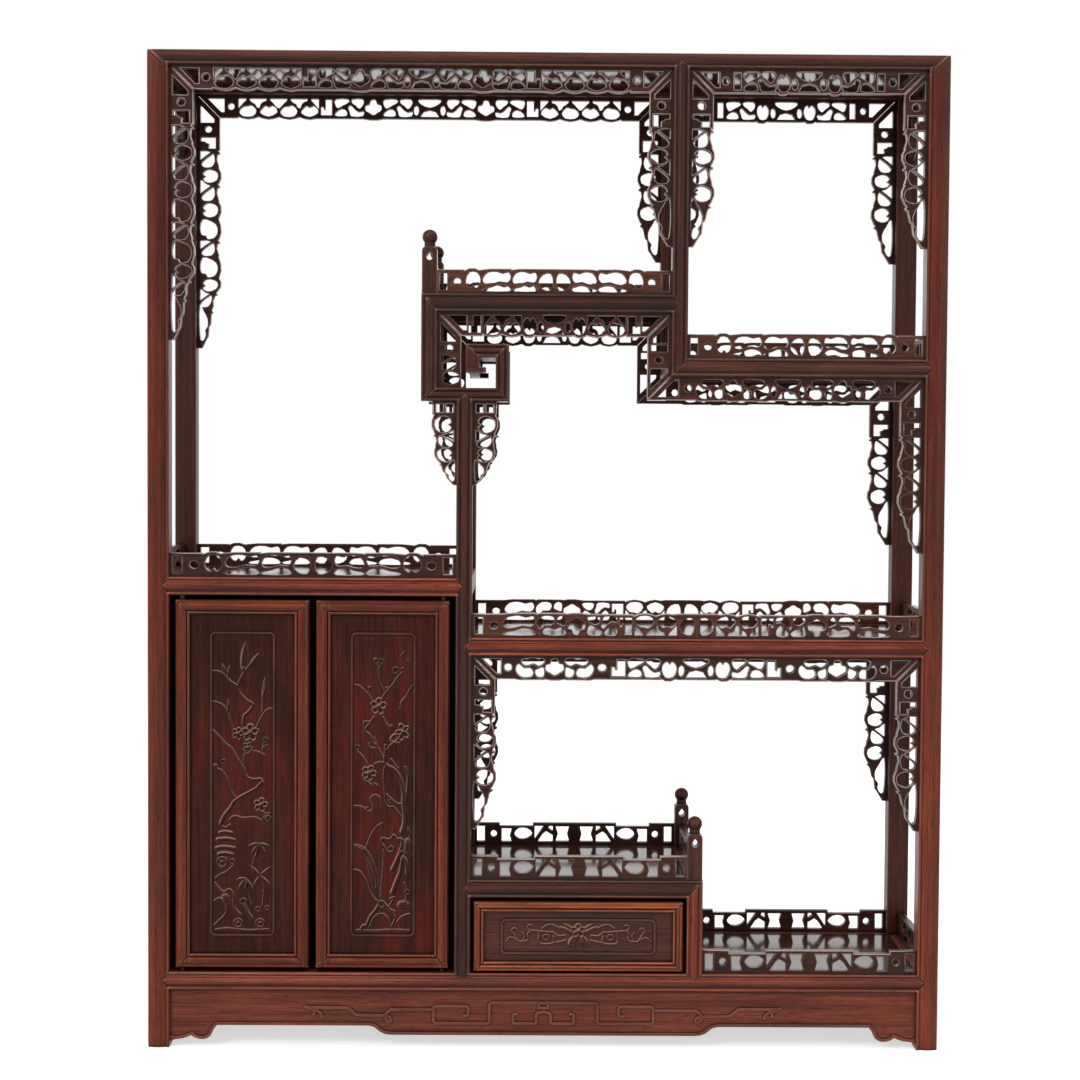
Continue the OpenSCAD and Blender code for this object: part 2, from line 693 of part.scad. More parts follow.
// A leaf shaped like a bone over two leaves that lean against it
BONE = [[soft([[0.22, 0.24], [0.34, 0.13], [0.92, 0.12], [0.97, 0.3], [0.8, 0.44], [0.62, 0.34], [0.42, 0.42],
               [0.28, 0.38]]),
         soft([[0.03, 0.54], [0.12, 0.36], [0.3, 0.54], [0.5, 0.53], [0.6, 0.7], [0.54, 0.89], [0.26, 0.92],
               [0.08, 0.76]]),
         soft([[0.7, 0.8], [0.69, 0.63], [0.78, 0.57], [0.94, 0.5], [0.97, 0.7], [0.95, 0.88], [0.8, 0.92]])],
        [[0, 1], [0.14, 1.04], [1, 1.03]]];
// A cloud with three heads
CLOUD = [[soft([[0.05, 0.62], [0.08, 0.4], [0.28, 0.36], [0.36, 0.17], [0.6, 0.14], [0.7, 0.34], [0.9, 0.38],
                [0.95, 0.6], [0.72, 0.74], [0.5, 0.84], [0.28, 0.74]])],
         [[0, 1.01], [0.3, 1.05], [0.7, 1.05], [1, 1.01]]];
// A long leaf over a low lens
SWEEP = [[soft([[0.04, 0.6], [0.12, 0.42], [0.34, 0.42], [0.6, 0.52], [0.86, 0.48], [0.97, 0.68], [0.9, 0.9],
                [0.7, 0.84], [0.5, 0.92], [0.2, 0.88]]),
          soft([[0.06, 0.2], [0.12, 0.11], [0.9, 0.11], [0.95, 0.24], [0.82, 0.36], [0.58, 0.39],
                [0.36, 0.28]])],
         [[0, 1], [0.3, 1.04], [1, 1.04]]];
// Two ovals beside a bar
PAIR = [[soft([[0.03, 0.5], [0.14, 0.22], [0.36, 0.15], [0.45, 0.5], [0.38, 0.85], [0.16, 0.8]]),
         soft([[0.97, 0.5], [0.84, 0.8], [0.62, 0.85], [0.55, 0.5], [0.64, 0.15], [0.86, 0.22]])],
        [[0, 1.04], [1, 1.04]]];
// A stem from the fixed side to a bud on the free edge; its first opening starts at a
function stem(a) = [[[[a, 0.13], [0.54, 0.13], [0.34, 0.34], [0.1, 0.6], [0.03, 0.4]],
                     soft([[0.2, 0.72], [0.28, 0.58], [0.5, 0.34], [0.74, 0.18], [0.94, 0.3], [0.92, 0.64],
                           [0.6, 0.78]])],
                    [[0, 0.93], [0.06, 0.92], [0.11, 1], [0.18, 1.01], [0.24, 0.9], [0.5, 0.87],
                     [0.9, 0.96]]];
STEM = stem(0.04);
LONG_STEM = stem(-0.24);
// A round lobe with a bud that reaches into its eye
APPLE = [[soft([[0.08, 0.58], [0.16, 0.34], [0.38, 0.24], [0.52, 0.37], [0.66, 0.24], [0.86, 0.36],
                [0.93, 0.6], [0.74, 0.88], [0.3, 0.9]])],
         [[0, 0.96], [0.26, 1.05], [0.6, 1.06], [0.86, 0.98]]];
// A lobe that opens towards the fixed side
KIDNEY = [[soft([[0.04, 0.22], [0.1, 0.54], [0.3, 0.84], [0.62, 0.91], [0.9, 0.76], [0.96, 0.46], [0.8, 0.38],
                 [0.76, 0.18], [0.4, 0.12]])],
          [[0, 0.94], [0.3, 1.04], [0.62, 1.06], [0.9, 0.98]]];
// A square hook, in a frieze and in a drop
KEY = [[[[0.1, 0.48], [0.26, 0.48], [0.32, 0.62], [0.42, 0.58], [0.42, 0.15], [0.9, 0.15], [0.9, 0.86],
         [0.1, 0.86]]], FLAT];
HOOK = [[[[0.1, 0.16], [0.1, 0.84], [0.88, 0.84], [0.88, 0.5], [0.54, 0.52], [0.5, 0.4], [0.4, 0.36],
          [0.38, 0.16]]], FLAT];
// A small eye in a square block
EYE = [[oval(0.5, 0.5, 0.27, 0.16)], FLAT];
SLOT = [[[[0.2, 0.15], [0.8, 0.15], [0.8, 0.85], [0.2, 0.85]]], FLAT];
SPLIT = [[[[0.2, 0.14], [0.8, 0.14], [0.8, 0.44], [0.2, 0.44]],
          [[0.2, 0.56], [0.8, 0.56], [0.8, 0.86], [0.2, 0.86]]], FLAT];
// The middle of a row, alike from both sides: a heart over a lens, between two small ovals
CREST = [[soft([[0.16, 0.13], [0.5, 0.11], [0.84, 0.13], [0.76, 0.34], [0.5, 0.49], [0.24, 0.34]]),
          oval(0.1, 0.62, 0.08, 0.23), oval(0.9, 0.62, 0.08, 0.23),
          [[0.22, 0.9], [0.32, 0.67], [0.5, 0.6], [0.68, 0.67], [0.78, 0.9]]], [[0, 1], [1, 1]]];
// The long slanting opening in the tip of a drop
TEAR = [[soft([[-0.1, 0.13], [0.08, 0.4], [0.28, 0.72], [0.46, 0.8], [0.56, 0.64], [0.66, 0.78], [0.8, 0.66],
               [0.78, 0.3], [0.4, 0.13]])],
        [[0, 0.94], [0.06, 0.9], [0.1, 1.02], [0.16, 0.92], [0.4, 1], [0.46, 0.9], [0.7, 1.02], [0.78, 0.92],
         [1, 1]]];
// Straight figures: a low bar with a pointed eye, and a slanting strut
LENS = [[soft([[0.06, 0.5], [0.3, 0.27], [0.7, 0.3], [0.95, 0.52], [0.7, 0.74], [0.3, 0.76]])],
        [[0, 0.86], [0.97, 0.86], [0.97, 1]]];
STRUT = [[[[0.06, 0.26], [0.5, 0.86], [0.06, 0.86]], [[0.2, 0.14], [0.94, 0.14], [0.94, 0.44], [0.62, 0.62],
          [0.46, 0.5]], [[0.72, 0.76], [0.94, 0.62], [0.94, 0.86], [0.78, 0.86]]], FLAT];
NOTCH = [[[[0.15, 0.14], [0.9, 0.14], [0.76, 0.42], [0.9, 0.74], [0.15, 0.74]]],
         [[0, 1], [0, 0.86], [1, 0.86]]];
BLOCK = [[[[0.1, 0.16], [0.9, 0.16], [0.78, 0.5], [0.9, 0.84], [0.1, 0.84], [0.24, 0.5]]], FLAT];
SOLID = [[], FLAT];

// Rows of figures, each with the length that it takes when the row is at its own size; true turns it
ROW_TOP_LEFT = [[EYE, 10], [vine(4), 64], [KEY, 11], [LEAF, 24], [CLOUD, 14], [LEAF, 24]];
ROW_TOP_RIGHT = [[EYE, 9], [SLOT, 8], [LEAF, 24], [APPLE, 11]];
ROW_UPPER = [[KEY, 12], [vine(2), 30], [APPLE, 12]];
ROW_RIGHT = [[EYE, 10], [BONE, 21], [CLOUD, 14], [BONE, 20, true]];
ROW_MIDDLE = [[EYE, 10], [BONE, 21], [CLOUD, 14], [BONE, 21, true], [EYE, 11], [KEY, 12], [LEAF, 24],
              [APPLE, 12]];
ROW_END = [[KEY, 10]];
ROW_DROP = [[EYE, 11], [HOOK, 12], [STEM, 15], [APPLE, 13], [LONG_STEM, 15], [APPLE, 14], [TEAR, 34]];
ROW_LONG_DROP = [[EYE, 11], [HOOK, 12], [STEM, 15], [APPLE, 13], [LONG_STEM, 15], [APPLE, 14], [KIDNEY, 18],
                 [STEM, 14], [KIDNEY, 18], [APPLE, 12], [LONG_STEM, 13], [TEAR, 34]];
ROW_END_DROP = [[HOOK, 9], [TEAR, 19]];
ROW_SPANDREL = [[SPLIT, 11], [APPLE, 15], [LONG_STEM, 11], [APPLE, 12], [TEAR, 18]];
ROW_STILE = [[EYE, 12], [STEM, 14], [APPLE, 13]];
ROW_GALLERY_SHORT = [[SPLIT, 9], [KEY, 11], [SWEEP, 22]];
ROW_GALLERY = [[SLOT, 10], [EYE, 11], [APPLE, 13], [SWEEP, 23], [SWEEP, 20]];
ROW_GALLERY_LONG = [[SLOT, 10], [EYE, 11], [SWEEP, 24], [BONE, 21], [CLOUD, 14], [LEAF, 22], [KEY, 11],
                    [vine(2), 31]];
ROW_STRAIGHT = [[SLOT, 11], [EYE, 10], [NOTCH, 11], [LENS, 17], [STRUT, 17], [BLOCK, 14]];
middle_l = 26;     // length of the figure in the middle of a row

// How wide a board still is after a share of its length
DROP_TAPER = [[0, 1], [0.75, 1], [0.84, 0.72], [0.92, 0.56], [0.975, 0.4], [1, 0.2]];
SPANDREL_TAPER = [[0, 1], [0.45, 1], [0.7, 0.84], [0.84, 0.58], [0.95, 0.34], [1, 0.15]];
NO_TAPER = [[0, 1], [1, 1]];

function sum_to(row, n) = n == 0 ? 0 : row[n - 1][1] + sum_to(row, n - 1);
function flip_cells(row) = [for (i = [len(row) - 1:-1:0]) [row[i][0], row[i][1], row[i][2] != true]];
function both_ways(row, middle = [CREST, middle_l]) = concat(row, [middle], flip_cells(row));
// A point of cell i when the row runs from x0 over a length l on a board h high
function put(p, row, i, x0, l, h, taper) =
    let (k = l/sum_to(row, len(row)), u = row[i][2] == true ? 1 - p[0] : p[0],
         x = (sum_to(row, i) + u*row[i][1])*k)
    [x0 + x, p[1]*h*lookup((x0 + x)/(x0 + l), taper)];
function row_holes(row, x0, l, h, taper = NO_TAPER) = [for (i = [0:len(row) - 1]) for (hole = row[i][0][0])
    [for (p = hole) put(p, row, i, x0, l, h, taper)]];
function row_edge(row, x0, l, h, taper = NO_TAPER) = [for (i = [0:len(row) - 1])
    for (p = row[i][2] == true ? flip(row[i][0][1]) : row[i][0][1]) put(p, row, i, x0, l, h, taper)];
// The opening beside a mitre that starts at x = 0 and leaves the board at x = h
function mitre_hole(h) = let (x1 = h + corner_l)
    [[0.14*h + mitre_bar, 0.14*h], [x1, 0.14*h], [x1, 0.76*h], [0.76*h + mitre_bar, 0.76*h]];
// The same beside a mitre that starts at x = 0 and leaves the board at x = -h
function outer_mitre_hole(h) = [[mitre_bar - 0.14*h, 0.14*h], [mitre_bar, 0.14*h], [mitre_bar, 0.86*h],
    [mitre_bar - 0.86*h, 0.86*h]];

// A board with its openings; walls too thin to carve are cut away
module pierced(outline, holes) {
    offset(delta = 0.2) offset(delta = -0.2) difference() {
        polygon(outline);
        for (hole = holes) polygon(hole);
    }
}
function mirror_x(pts, l) = [for (p = flip(pts)) [l - p[0], p[1]]];

// Friezes

corner_l = 4;      // how far the opening beside a mitre reaches past its end
function mitre_end(h) = h + corner_l;

// Horizontal board of length l; its fixed side is up, and out_left turns its left mitre outwards
module frieze_board(l, half_row, out_left = false) {
    h = frieze_h;
    row = both_ways(half_row);
    x0 = out_left ? mitre_bar + corner_l/2 : mitre_end(h);
    x1 = l - mitre_end(h);
    left_hole = out_left ? [outer_mitre_hole(h)] : [mitre_hole(h)];
    mirror([0, 1]) pierced(
        concat([[0, 0], [out_left ? -h : h, h]], row_edge(row, x0, x1 - x0, h), [[l - h, h], [l, 0]]),
        concat(left_hole, [mirror_x(mitre_hole(h), l)], row_holes(row, x0, x1 - x0, h)));
}
// Board down a post at x = 0, mitred at the top or straight
module drop_board(l, row, taper = DROP_TAPER, w = frieze_h, mitred = true) {
    x0 = mitred ? mitre_end(w) : 0;
    rotate(-90) pierced(
        concat([[0, 0]], mitred ? [[w, w]] : [], row_edge(row, x0, l - x0, w, taper), [[l, 0]]),
        concat(mitred ? [mitre_hole(w)] : [], row_holes(row, x0, l - x0, w, taper)));
}
// Straight board down a post at x = 0, mitred inwards at the top and outwards at the foot if turned
module stile_board(l, row, turned) {
    w = frieze_h;
    x0 = mitre_end(w);
    x1 = l - corner_l/2 - (turned ? mitre_bar : 0);
    foot_hole = turned ? [mirror_x(outer_mitre_hole(w), l)] : [];
    rotate(-90) pierced(
        concat([[0, 0], [w, w]], turned ? [[l + w, w], [l, 0]] : [[l, w], [l, 0]]),
        concat([mitre_hole(w)], foot_hole, row_holes(row, x0, x1 - x0, w)));
}
module hung(x, z) {
    translate([x, 0, z]) upright(frieze_t, frieze_inset) children();
}
module hung_mirrored(x, z) {
    translate([x, 0, z]) mirror([1, 0, 0]) upright(frieze_t, frieze_inset) children();
}
// A frieze between x0 and x1 with a drop down each side
module frieze(x0, x1, z, half_row, drop_left, drop_right, row_left = ROW_DROP, row_right = ROW_DROP) {
    g = glue_gap;
    hung(x0 + 2*g, z) frieze_board(x1 - x0 - 4*g, half_row);
    hung(x0, z - 2*g) drop_board(drop_left, row_left);
    hung_mirrored(x1, z - 2*g) drop_board(drop_right, row_right);
}
module top_left_frieze() {
    frieze(post_w, upper_l, top_under, ROW_TOP_LEFT, long_drop, short_drop, ROW_LONG_DROP);
}
module frieze_top_left_front() { color(fret_color) placed() top_left_frieze(); }
module frieze_top_left_back() { color(fret_color) placed() from_back() top_left_frieze(); }
module top_right_frieze() {
    frieze(upper_r, right_in, top_under, ROW_TOP_RIGHT, short_drop, short_drop);
}
module frieze_top_right_front() { color(fret_color) placed() top_right_frieze(); }
module frieze_top_right_back() { color(fret_color) placed() from_back() top_right_frieze(); }
// Under the upper shelf, down the hooked box and down the upper post to the frieze of the right shelf
module upper_frieze() {
    g = glue_gap;
    z = upper_shelf_z - rail_h;
    hung(hook_in + 2*g, z) frieze_board(upper_l - hook_in - 4*g, ROW_UPPER);
    hung(hook_in, z - 2*g) stile_board(z - hook_low_z - 2*g, ROW_STILE, false);
    hung_mirrored(upper_l, z - 2*g)
        stile_board(z - right_shelf_z + rail_h - 2*g, [[SLOT, 9], [EYE, 10]], true);
}
module frieze_upper_front() { color(fret_color) placed() upper_frieze(); }
module frieze_upper_back() { color(fret_color) placed() from_back() upper_frieze(); }
module right_frieze() {
    g = glue_gap;
    z = right_shelf_z - rail_h;
    hung(upper_l + 2*g, z) frieze_board(right_in - upper_l - 4*g, ROW_RIGHT, true);
    hung_mirrored(right_in, z - 2*g) drop_board(short_drop, ROW_DROP);
}
module frieze_right_front() { color(fret_color) placed() right_frieze(); }
module frieze_right_back() { color(fret_color) placed() from_back() right_frieze(); }
module middle_frieze() {
    z = middle_shelf_z - rail_h;
    low_drop = z - drawer_shelf_z - gallery_h - low_drop_gap;
    frieze(divider_r, right_in, z, ROW_MIDDLE, low_drop, low_drop);
}
module frieze_middle_front() { color(fret_color) placed() middle_frieze(); }
module frieze_middle_back() { color(fret_color) placed() from_back() middle_frieze(); }
module end_frieze() {
    on_left_end() frieze(post_w, cabinet_d - post_w, top_under, ROW_END, end_drop, end_drop,
                         ROW_END_DROP, ROW_END_DROP);
}
module frieze_ends() {
    color(fret_color) placed() {
        end_frieze();
        from_right() end_frieze();
    }
}
module spandrel() {
    drop_board(spandrel_l, ROW_SPANDREL, SPANDREL_TAPER, mitred = false);
}
module spandrels() {
    color(fret_color) placed() both_frames() {
        hung(divider_r, hook_under) spandrel();
        hung_mirrored(divider_l, hook_under) spandrel();
    }
}

// Galleries

module gallery_board(l, half_row, middle = [PAIR, middle_l]) {
    h = gallery_h;
    row = both_ways(half_row, middle);
    pierced(concat([[0, 0]], row_edge(row, 0, l, h), [[l, 0]]), row_holes(row, 0, l, h));
}
module stood(x, z) {
    translate([x, 0, z]) upright(gallery_t, gallery_inset) children();
}
// Front and back gallery of a shelf between x0 and x1
module long_galleries(x0, x1, z, half_row, middle = [PAIR, middle_l]) {
    both_frames() stood(x0, z) gallery_board(x1 - x0, half_row, middle);
}
// End gallery at depth x behind the left end, between front and back posts of depth d
module end_gallery(x, z, d) {
    on_left_end(x) stood(d, z) gallery_board(cabinet_d - 2*d, ROW_GALLERY_SHORT);
}
module gallery_upper() {
    color(fret_color) placed() {
        long_galleries(hook_x + finial_w/2, upper_l, upper_shelf_z, ROW_GALLERY);
        end_gallery(hook_x - finial_w/2, upper_shelf_z, gallery_inset + finial_w);
    }
}
module gallery_right() {
    color(fret_color) placed() {
        long_galleries(upper_r, right_in, right_shelf_z, ROW_GALLERY);
        from_right() end_gallery(0, right_shelf_z, post_w);
    }
}
module gallery_left() {
    color(fret_color) placed() {
        long_galleries(post_w, divider_l, left_shelf_z, ROW_GALLERY);
        end_gallery(0, left_shelf_z, post_w);
    }
}
module gallery_middle() {
    color(fret_color) placed() {
        long_galleries(divider_r, right_in, middle_shelf_z, ROW_GALLERY_LONG);
        from_right() end_gallery(0, middle_shelf_z, post_w);
    }
}
module gallery_drawer() {
    color(fret_color) placed() {
        long_galleries(divider_r, drawer_post_x - finial_w/2, drawer_shelf_z, ROW_STRAIGHT, [SOLID, 6]);
        from_right() end_gallery(cabinet_w - drawer_post_x - finial_w/2, drawer_shelf_z,
                                 gallery_inset + finial_w);
    }
}
module gallery_base() {
    color(fret_color) placed() {
        long_galleries(drawer_post_r, right_in, base_z, ROW_STRAIGHT, [SOLID, 6]);
        from_right() end_gallery(0, base_z, post_w);
    }
}

// Finial posts with a round head, a waist and a pierced drop

head_share = 0.22;  // height of the head as a share of the finial
module finial(x, z) {
    r = finial_w/2;
    head = finial_h*head_share;
    shoulder = finial_h - head - 2.5;
    translate([x, gallery_inset + r, z]) difference() {
        union() {
            translate([0, 0, finial_h - r]) sphere(r = r, $fn = 32);
            translate([0, 0, shoulder - 3]) cylinder(r = r*0.72, h = finial_h - r - shoulder + 3, $fn = 32);
            intersection() {
                translate([-r, -r, 0]) cube([2*r, 2*r, shoulder]);
                translate([0, r, 0]) rotate([90, 0, 0]) linear_extrude(2*r) polygon(concat(
                    [[-r, 0], [r, 0]], arc(r - 3, shoulder - 3, 3, 0, 90, 4),
                    arc(3 - r, shoulder - 3, 3, 90, 180, 4)));
            }
        }
        translate([0, r + lap, shoulder*0.78]) rotate([90, 0, 0]) linear_extrude(2*r + 2*lap)
            polygon(concat([[0, 4.2]], arc(0, 0, 2.4, 20, -200, 8)));
    }
}
module finials_upper() { color(post_color) placed() both_frames() finial(hook_x, upper_shelf_z); }
module finials_drawer() { color(post_color) placed() both_frames() finial(drawer_post_x, drawer_shelf_z); }

// Aprons

apron_top = base_z - rail_h;

// Scrolled foot: lower edge from the post at 0 to where the flat edge begins
function foot_edge() = concat(smooth([[0, apron_foot_z], [4, 5.4], [10, 6.2], [16.5, 8.6]]),
    smooth([[16.8, 8.2], [20, 6.4], [26, 5.6], [31, 8.2], [32.6, 12.4], [36, apron_flat_z]]));
// Lower edge of the long apron up to its middle, with an ogee step down
function apron_edge(l) = let (x = apron_step_x, z = apron_flat_z, low = apron_low_z) concat(foot_edge(),
    smooth([[x, z], [x + 5, z - 1.2], [x + 9, (z + low)/2 - 1], [x + 14, low + 0.4], [x + 20, low]]),
    [[l/2, low]]);
function apron_outline(half, l) = concat([[0, apron_top]], half, mirror_x(half, l), [[l, apron_top]]);

// A path whose corners are rounded
function rounded(p, r = 2) = [for (i = [0:len(p) - 1]) let (here = p[i])
    each i == 0 || i == len(p) - 1 ? [here] : let (a = (p[i - 1] - here)/norm(p[i - 1] - here),
        b = (p[i + 1] - here)/norm(p[i + 1] - here)) [here + a*r, here + (1 - cos(45))*r*(a + b), here + b*r]];
module line(p, t = line_w) {
    polygon(ribbon(p, t));
}
// Left half of the meander on the apron, with x from the middle and z from the floor
module meander_half() {
    low = 18.6;
    mid = 24.4;
    high = 34.4;
    line(smooth([[-181, 31], [-174.5, 29], [-169.5, 26.5], [-167.5, 22.6]], 3));
    line(smooth([[-176, 30], [-173.6, 27], [-174.2, 24.2]], 3));
    line(concat([[-177, 30.2], [-151, 30.2]], smooth([[-148, 29.8], [-145, 27.6], [-142, 25], [-138, mid]]),
        [[-119.5, mid]]));
    line(smooth([[-120, mid], [-116.6, 23.2], [-115.6, 20.6], [-118.6, 19]], 3));
    line(concat(smooth([[-117.5, 19.6], [-119.6, 22.4], [-118.8, 26.4], [-115.4, 28.9]], 3), [[-84, 28.9]]));
    line(rounded([[-61, mid], [-57, mid], [-57, 31.7], [-83.4, 31.7], [-83.4, low], [-41, low], [-41, high],
        [0.5, high]]));
    line(rounded([[-19.5, 26], [-23, 26], [-23, low], [-5.5, low], [-5.5, mid]], 1.6));
    line(smooth([[-5.5, 23.6], [-4.4, 26.6], [0.5, 27.8]], 3));
    line([[-3.4, high], [-3.4, 30.6], [0.5, 30.6]]);
}
module apron(x0, l, carved) {
    outline = apron_outline(apron_edge(l), l);
    translate([x0, 0, 0]) {
        upright(apron_t, apron_inset) polygon(outline);
        upright(ridge_h + lap, apron_inset - ridge_h) offset(delta = 0) {
            difference() {
                polygon(outline);
                offset(delta = -apron_bead_w) polygon(outline);
                translate([-lap, apron_top - apron_bead_w - lap]) square([l + 2*lap, far]);
                for (x = [-lap, l - apron_bead_w]) translate([x, apron_foot_z + 2*apron_bead_w])
                    square([apron_bead_w + lap, apron_top]);
            }
            if (carved) for (s = [0, 1]) translate([l/2, 0]) mirror([s, 0]) meander_half();
        }
    }
}
// Aprons at the ends are straight between their scrolled feet
module end_apron() {
    l = cabinet_d - 2*post_w;
    half = concat(foot_edge(), [[l/2, apron_flat_z]]);
    on_left_end() translate([post_w, 0, 0]) upright(apron_t, apron_inset) polygon(apron_outline(half, l));
}
module apron_front() { color(rail_color) placed() apron(post_w, right_in - post_w, true); }
module apron_back() { color(rail_color) placed() from_back() apron(post_w, right_in - post_w, false); }
module apron_ends() {
    color(rail_color) placed() {
        end_apron();
        from_right() end_apron();
    }
}

// Walls of the cupboard and of the drawer's room

module cupboard_end_panel() {
    color(board_color) placed() translate([wall_inset, post_w, base_z])
        cube([wall_t, cabinet_d - 2*post_w, left_shelf_z - rail_h - base_z]);
}
module cupboard_divider_panel() {
    color(board_color) placed() translate([divider_l + glue_gap, member_d, base_z])
        cube([wall_t, cabinet_d - 2*member_d, left_shelf_z - rail_h - base_z]);
}
module cupboard_back_panel() {
    color(board_color) placed() translate([post_w, cabinet_d - wall_inset - wall_t, base_z])
        cube([divider_l - post_w, wall_t, left_shelf_z - rail_h - base_z]);
}
module drawer_end_panel() {
    color(board_color) placed() translate([drawer_post_l + wall_inset, member_d, base_z])
        cube([wall_t, cabinet_d - 2*member_d, drawer_shelf_z - rail_h - base_z]);
}
module drawer_back_panel() {
    color(board_color) placed() translate([divider_r, cabinet_d - wall_inset - wall_t, base_z])
        cube([drawer_post_l - divider_r, wall_t, drawer_shelf_z - rail_h - base_z]);
}

// Doors and drawer front: a mitred frame with a panel in its groove

// Section of a frame member, outer edge at 0 and inner edge at w, rounded outside and beaded inside
function frame_section(w, t) = concat([[0, t]], arc(3, 3, 3, 180, 240, 3),
    bow(3, w - 2*bead_r - groove_w, 0.6, 0.6), arc(w - bead_r, 0.6 + bead_r, bead_r, 180, 360), [[w, t]]);

// The member along the left edge of a frame of height h, cut to the mitres
module frame_stile(h, w, t) {
    intersection() {
        translate([0, 0, -far]) linear_extrude(h + 2*far) polygon(frame_section(w, t));
        upright(t) offset(delta = -glue_gap/2) polygon([[0, 0], [w, w], [w, h - w], [0, h]]);
    }
}
// A frame in front view, with x from 0 to l and z from 0 to h
module mitred_frame(l, h, w, t) {
    frame_stile(h, w, t);
    translate([l, 0, 0]) mirror([1, 0, 0]) frame_stile(h, w, t);
    translate([0, 0, h]) rotate([0, 90, 0]) frame_stile(l, w, t);
    mirror([0, 0, 1]) rotate([0, 90, 0]) frame_stile(l, w, t);
}
// The panel that fills such a frame; grow lets it into the groove
module frame_plate(l, h, w, t, grow, gap) {
    translate([w - grow + gap, panel_recess, w - grow + gap])
        cube([l - 2*(w - grow + gap), t, h - 2*(w - grow + gap)]);
}
// Raised border with rounded corners on a panel, seen from the front
module carved_border(l, h, w, side, end) {
    r = 4;
    translate([0, panel_recess - ridge_h, 0]) upright(ridge_h) offset(delta = 0) difference() {
        offset(r = r, $fn = 24) translate([w + side + r, w + end + r])
            square([l - 2*(w + side + r), h - 2*(w + end + r)]);
        offset(r = r - 1.4, $fn = 24) translate([w + side + r, w + end + r])
            square([l - 2*(w + side + r), h - 2*(w + end + r)]);
    }
}
module fitted_frame(l, h, w, t, panel_t) {
    difference() {
        mitred_frame(l, h, w, t);
        frame_plate(l, h, w, panel_t, tongue_l, 0);
    }
}
module fitted_panel(l, h, w, panel_t, side, end) {
    frame_plate(l, h, w, panel_t, tongue_l, glue_gap);
    carved_border(l, h, w, side, end);
}

// Left door in its own place; the pivot pins stand on its outer stile
module door_frame() {
    h = door_top - door_bottom;
    translate([door_left_x, front_inset, door_bottom]) {
        fitted_frame(door_w, h, door_frame_w, door_t, door_panel_t);
        translate([pin_edge, pin_edge, -door_low_gap - pin_l])
            cylinder(d = pin_d, h = door_low_gap + pin_l + lap, $fn = 32);
        translate([pin_edge, pin_edge, h - lap])
            cylinder(d = pin_d, h = door_top_gap + pin_l + lap, $fn = 32);
    }
}
module door_panel() {
    translate([door_left_x, front_inset, door_bottom])
        fitted_panel(door_w, door_top - door_bottom, door_frame_w, door_panel_t, border_side, border_end);
}
// The right door is the left one seen in a mirror
module on_right_side() {
    translate([door_left_x + door_right_x + door_w, 0, 0]) mirror([1, 0, 0]) children();
}
module door_left_frame() { color(post_color) placed() door_frame(); }
module door_left_panel() { color(board_color) placed() door_panel(); }
module door_right_frame() { color(post_color) placed() on_right_side() door_frame(); }
module door_right_panel() { color(board_color) placed() on_right_side() door_panel(); }

module at_drawer() {
    translate([drawer_x0, front_inset, drawer_z0]) children();
}
drawer_front_l = drawer_x1 - drawer_x0;
drawer_front_h = drawer_z1 - drawer_z0;
module drawer_front_frame() {
    color(rail_color) placed() at_drawer()
        fitted_frame(drawer_front_l, drawer_front_h, drawer_frame_w, drawer_front_t, door_panel_t);
}
module drawer_front_panel() {
    color(board_color) placed() at_drawer()
        fitted_panel(drawer_front_l, drawer_front_h, drawer_frame_w, door_panel_t, drawer_border_side,
                     drawer_border_end);
}
module drawer_box() {
    wall_h = drawer_front_h - drawer_box_edge;
    l = drawer_front_l - 2*drawer_box_edge;
    d = drawer_l - drawer_front_t;
    color(board_color) placed() at_drawer() translate([drawer_box_edge, drawer_front_t, 0]) {
        for (x = [0, l - drawer_wall]) translate([x, 0, 0]) cube([drawer_wall, d, wall_h]);
        translate([drawer_wall + glue_gap, d - drawer_wall, drawer_floor + glue_gap])
            cube([l - 2*drawer_wall - 2*glue_gap, drawer_wall, wall_h - drawer_floor - glue_gap]);
        translate([drawer_wall + glue_gap, 0, 0]) cube([l - 2*drawer_wall - 2*glue_gap, d, drawer_floor]);
    }
}

// Strips on the cupboard floor along both sides of the drawer box
module drawer_guides() {
    x0 = drawer_x0 + drawer_box_edge - guide_fit - guide_w;
    x1 = drawer_x1 - drawer_box_edge + guide_fit;
    color(board_color) placed() for (x = [x0, x1])
        translate([x, member_d, base_z]) cube([guide_w, cabinet_d - 2*member_d, guide_w]);
}

post_front_left();
post_front_right();
post_back_left();
post_back_right();
top_rails();
top_panel();
base_rails();
base_panel();
apron_front();
apron_back();
apron_ends();
divider_posts();
upper_posts();
drawer_posts();
hook_frames();
hook_boards();
upper_shelf_rails();
upper_shelf_panel();
right_shelf_rails();
right_shelf_panel();
left_shelf_rails();
left_shelf_panel();
middle_shelf_rails();
middle_shelf_panel();
drawer_shelf_rails();
drawer_shelf_panel();
frieze_top_left_front();
frieze_top_left_back();
frieze_top_right_front();
frieze_top_right_back();
frieze_upper_front();
frieze_upper_back();
frieze_right_front();
frieze_right_back();
frieze_middle_front();
frieze_middle_back();
frieze_ends();
spandrels();
gallery_upper();
gallery_right();
gallery_left();
gallery_middle();
gallery_drawer();
gallery_base();
finials_upper();
finials_drawer();
cupboard_end_panel();
cupboard_divider_panel();
cupboard_back_panel();
drawer_end_panel();
drawer_back_panel();
door_left_frame();
door_left_panel();
door_right_frame();
door_right_panel();
drawer_front_frame();
drawer_front_panel();
drawer_box();
drawer_guides();
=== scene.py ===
# Looks of the carved hardwood curio cabinet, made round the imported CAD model.
# Lengths are in metres, and the helper mm() turns millimetres into them. Reliefs are drawn in millimetres.
import math

import bmesh
import bpy
import numpy as np
from mathutils import Matrix, Vector
from mathutils.bvhtree import BVHTree


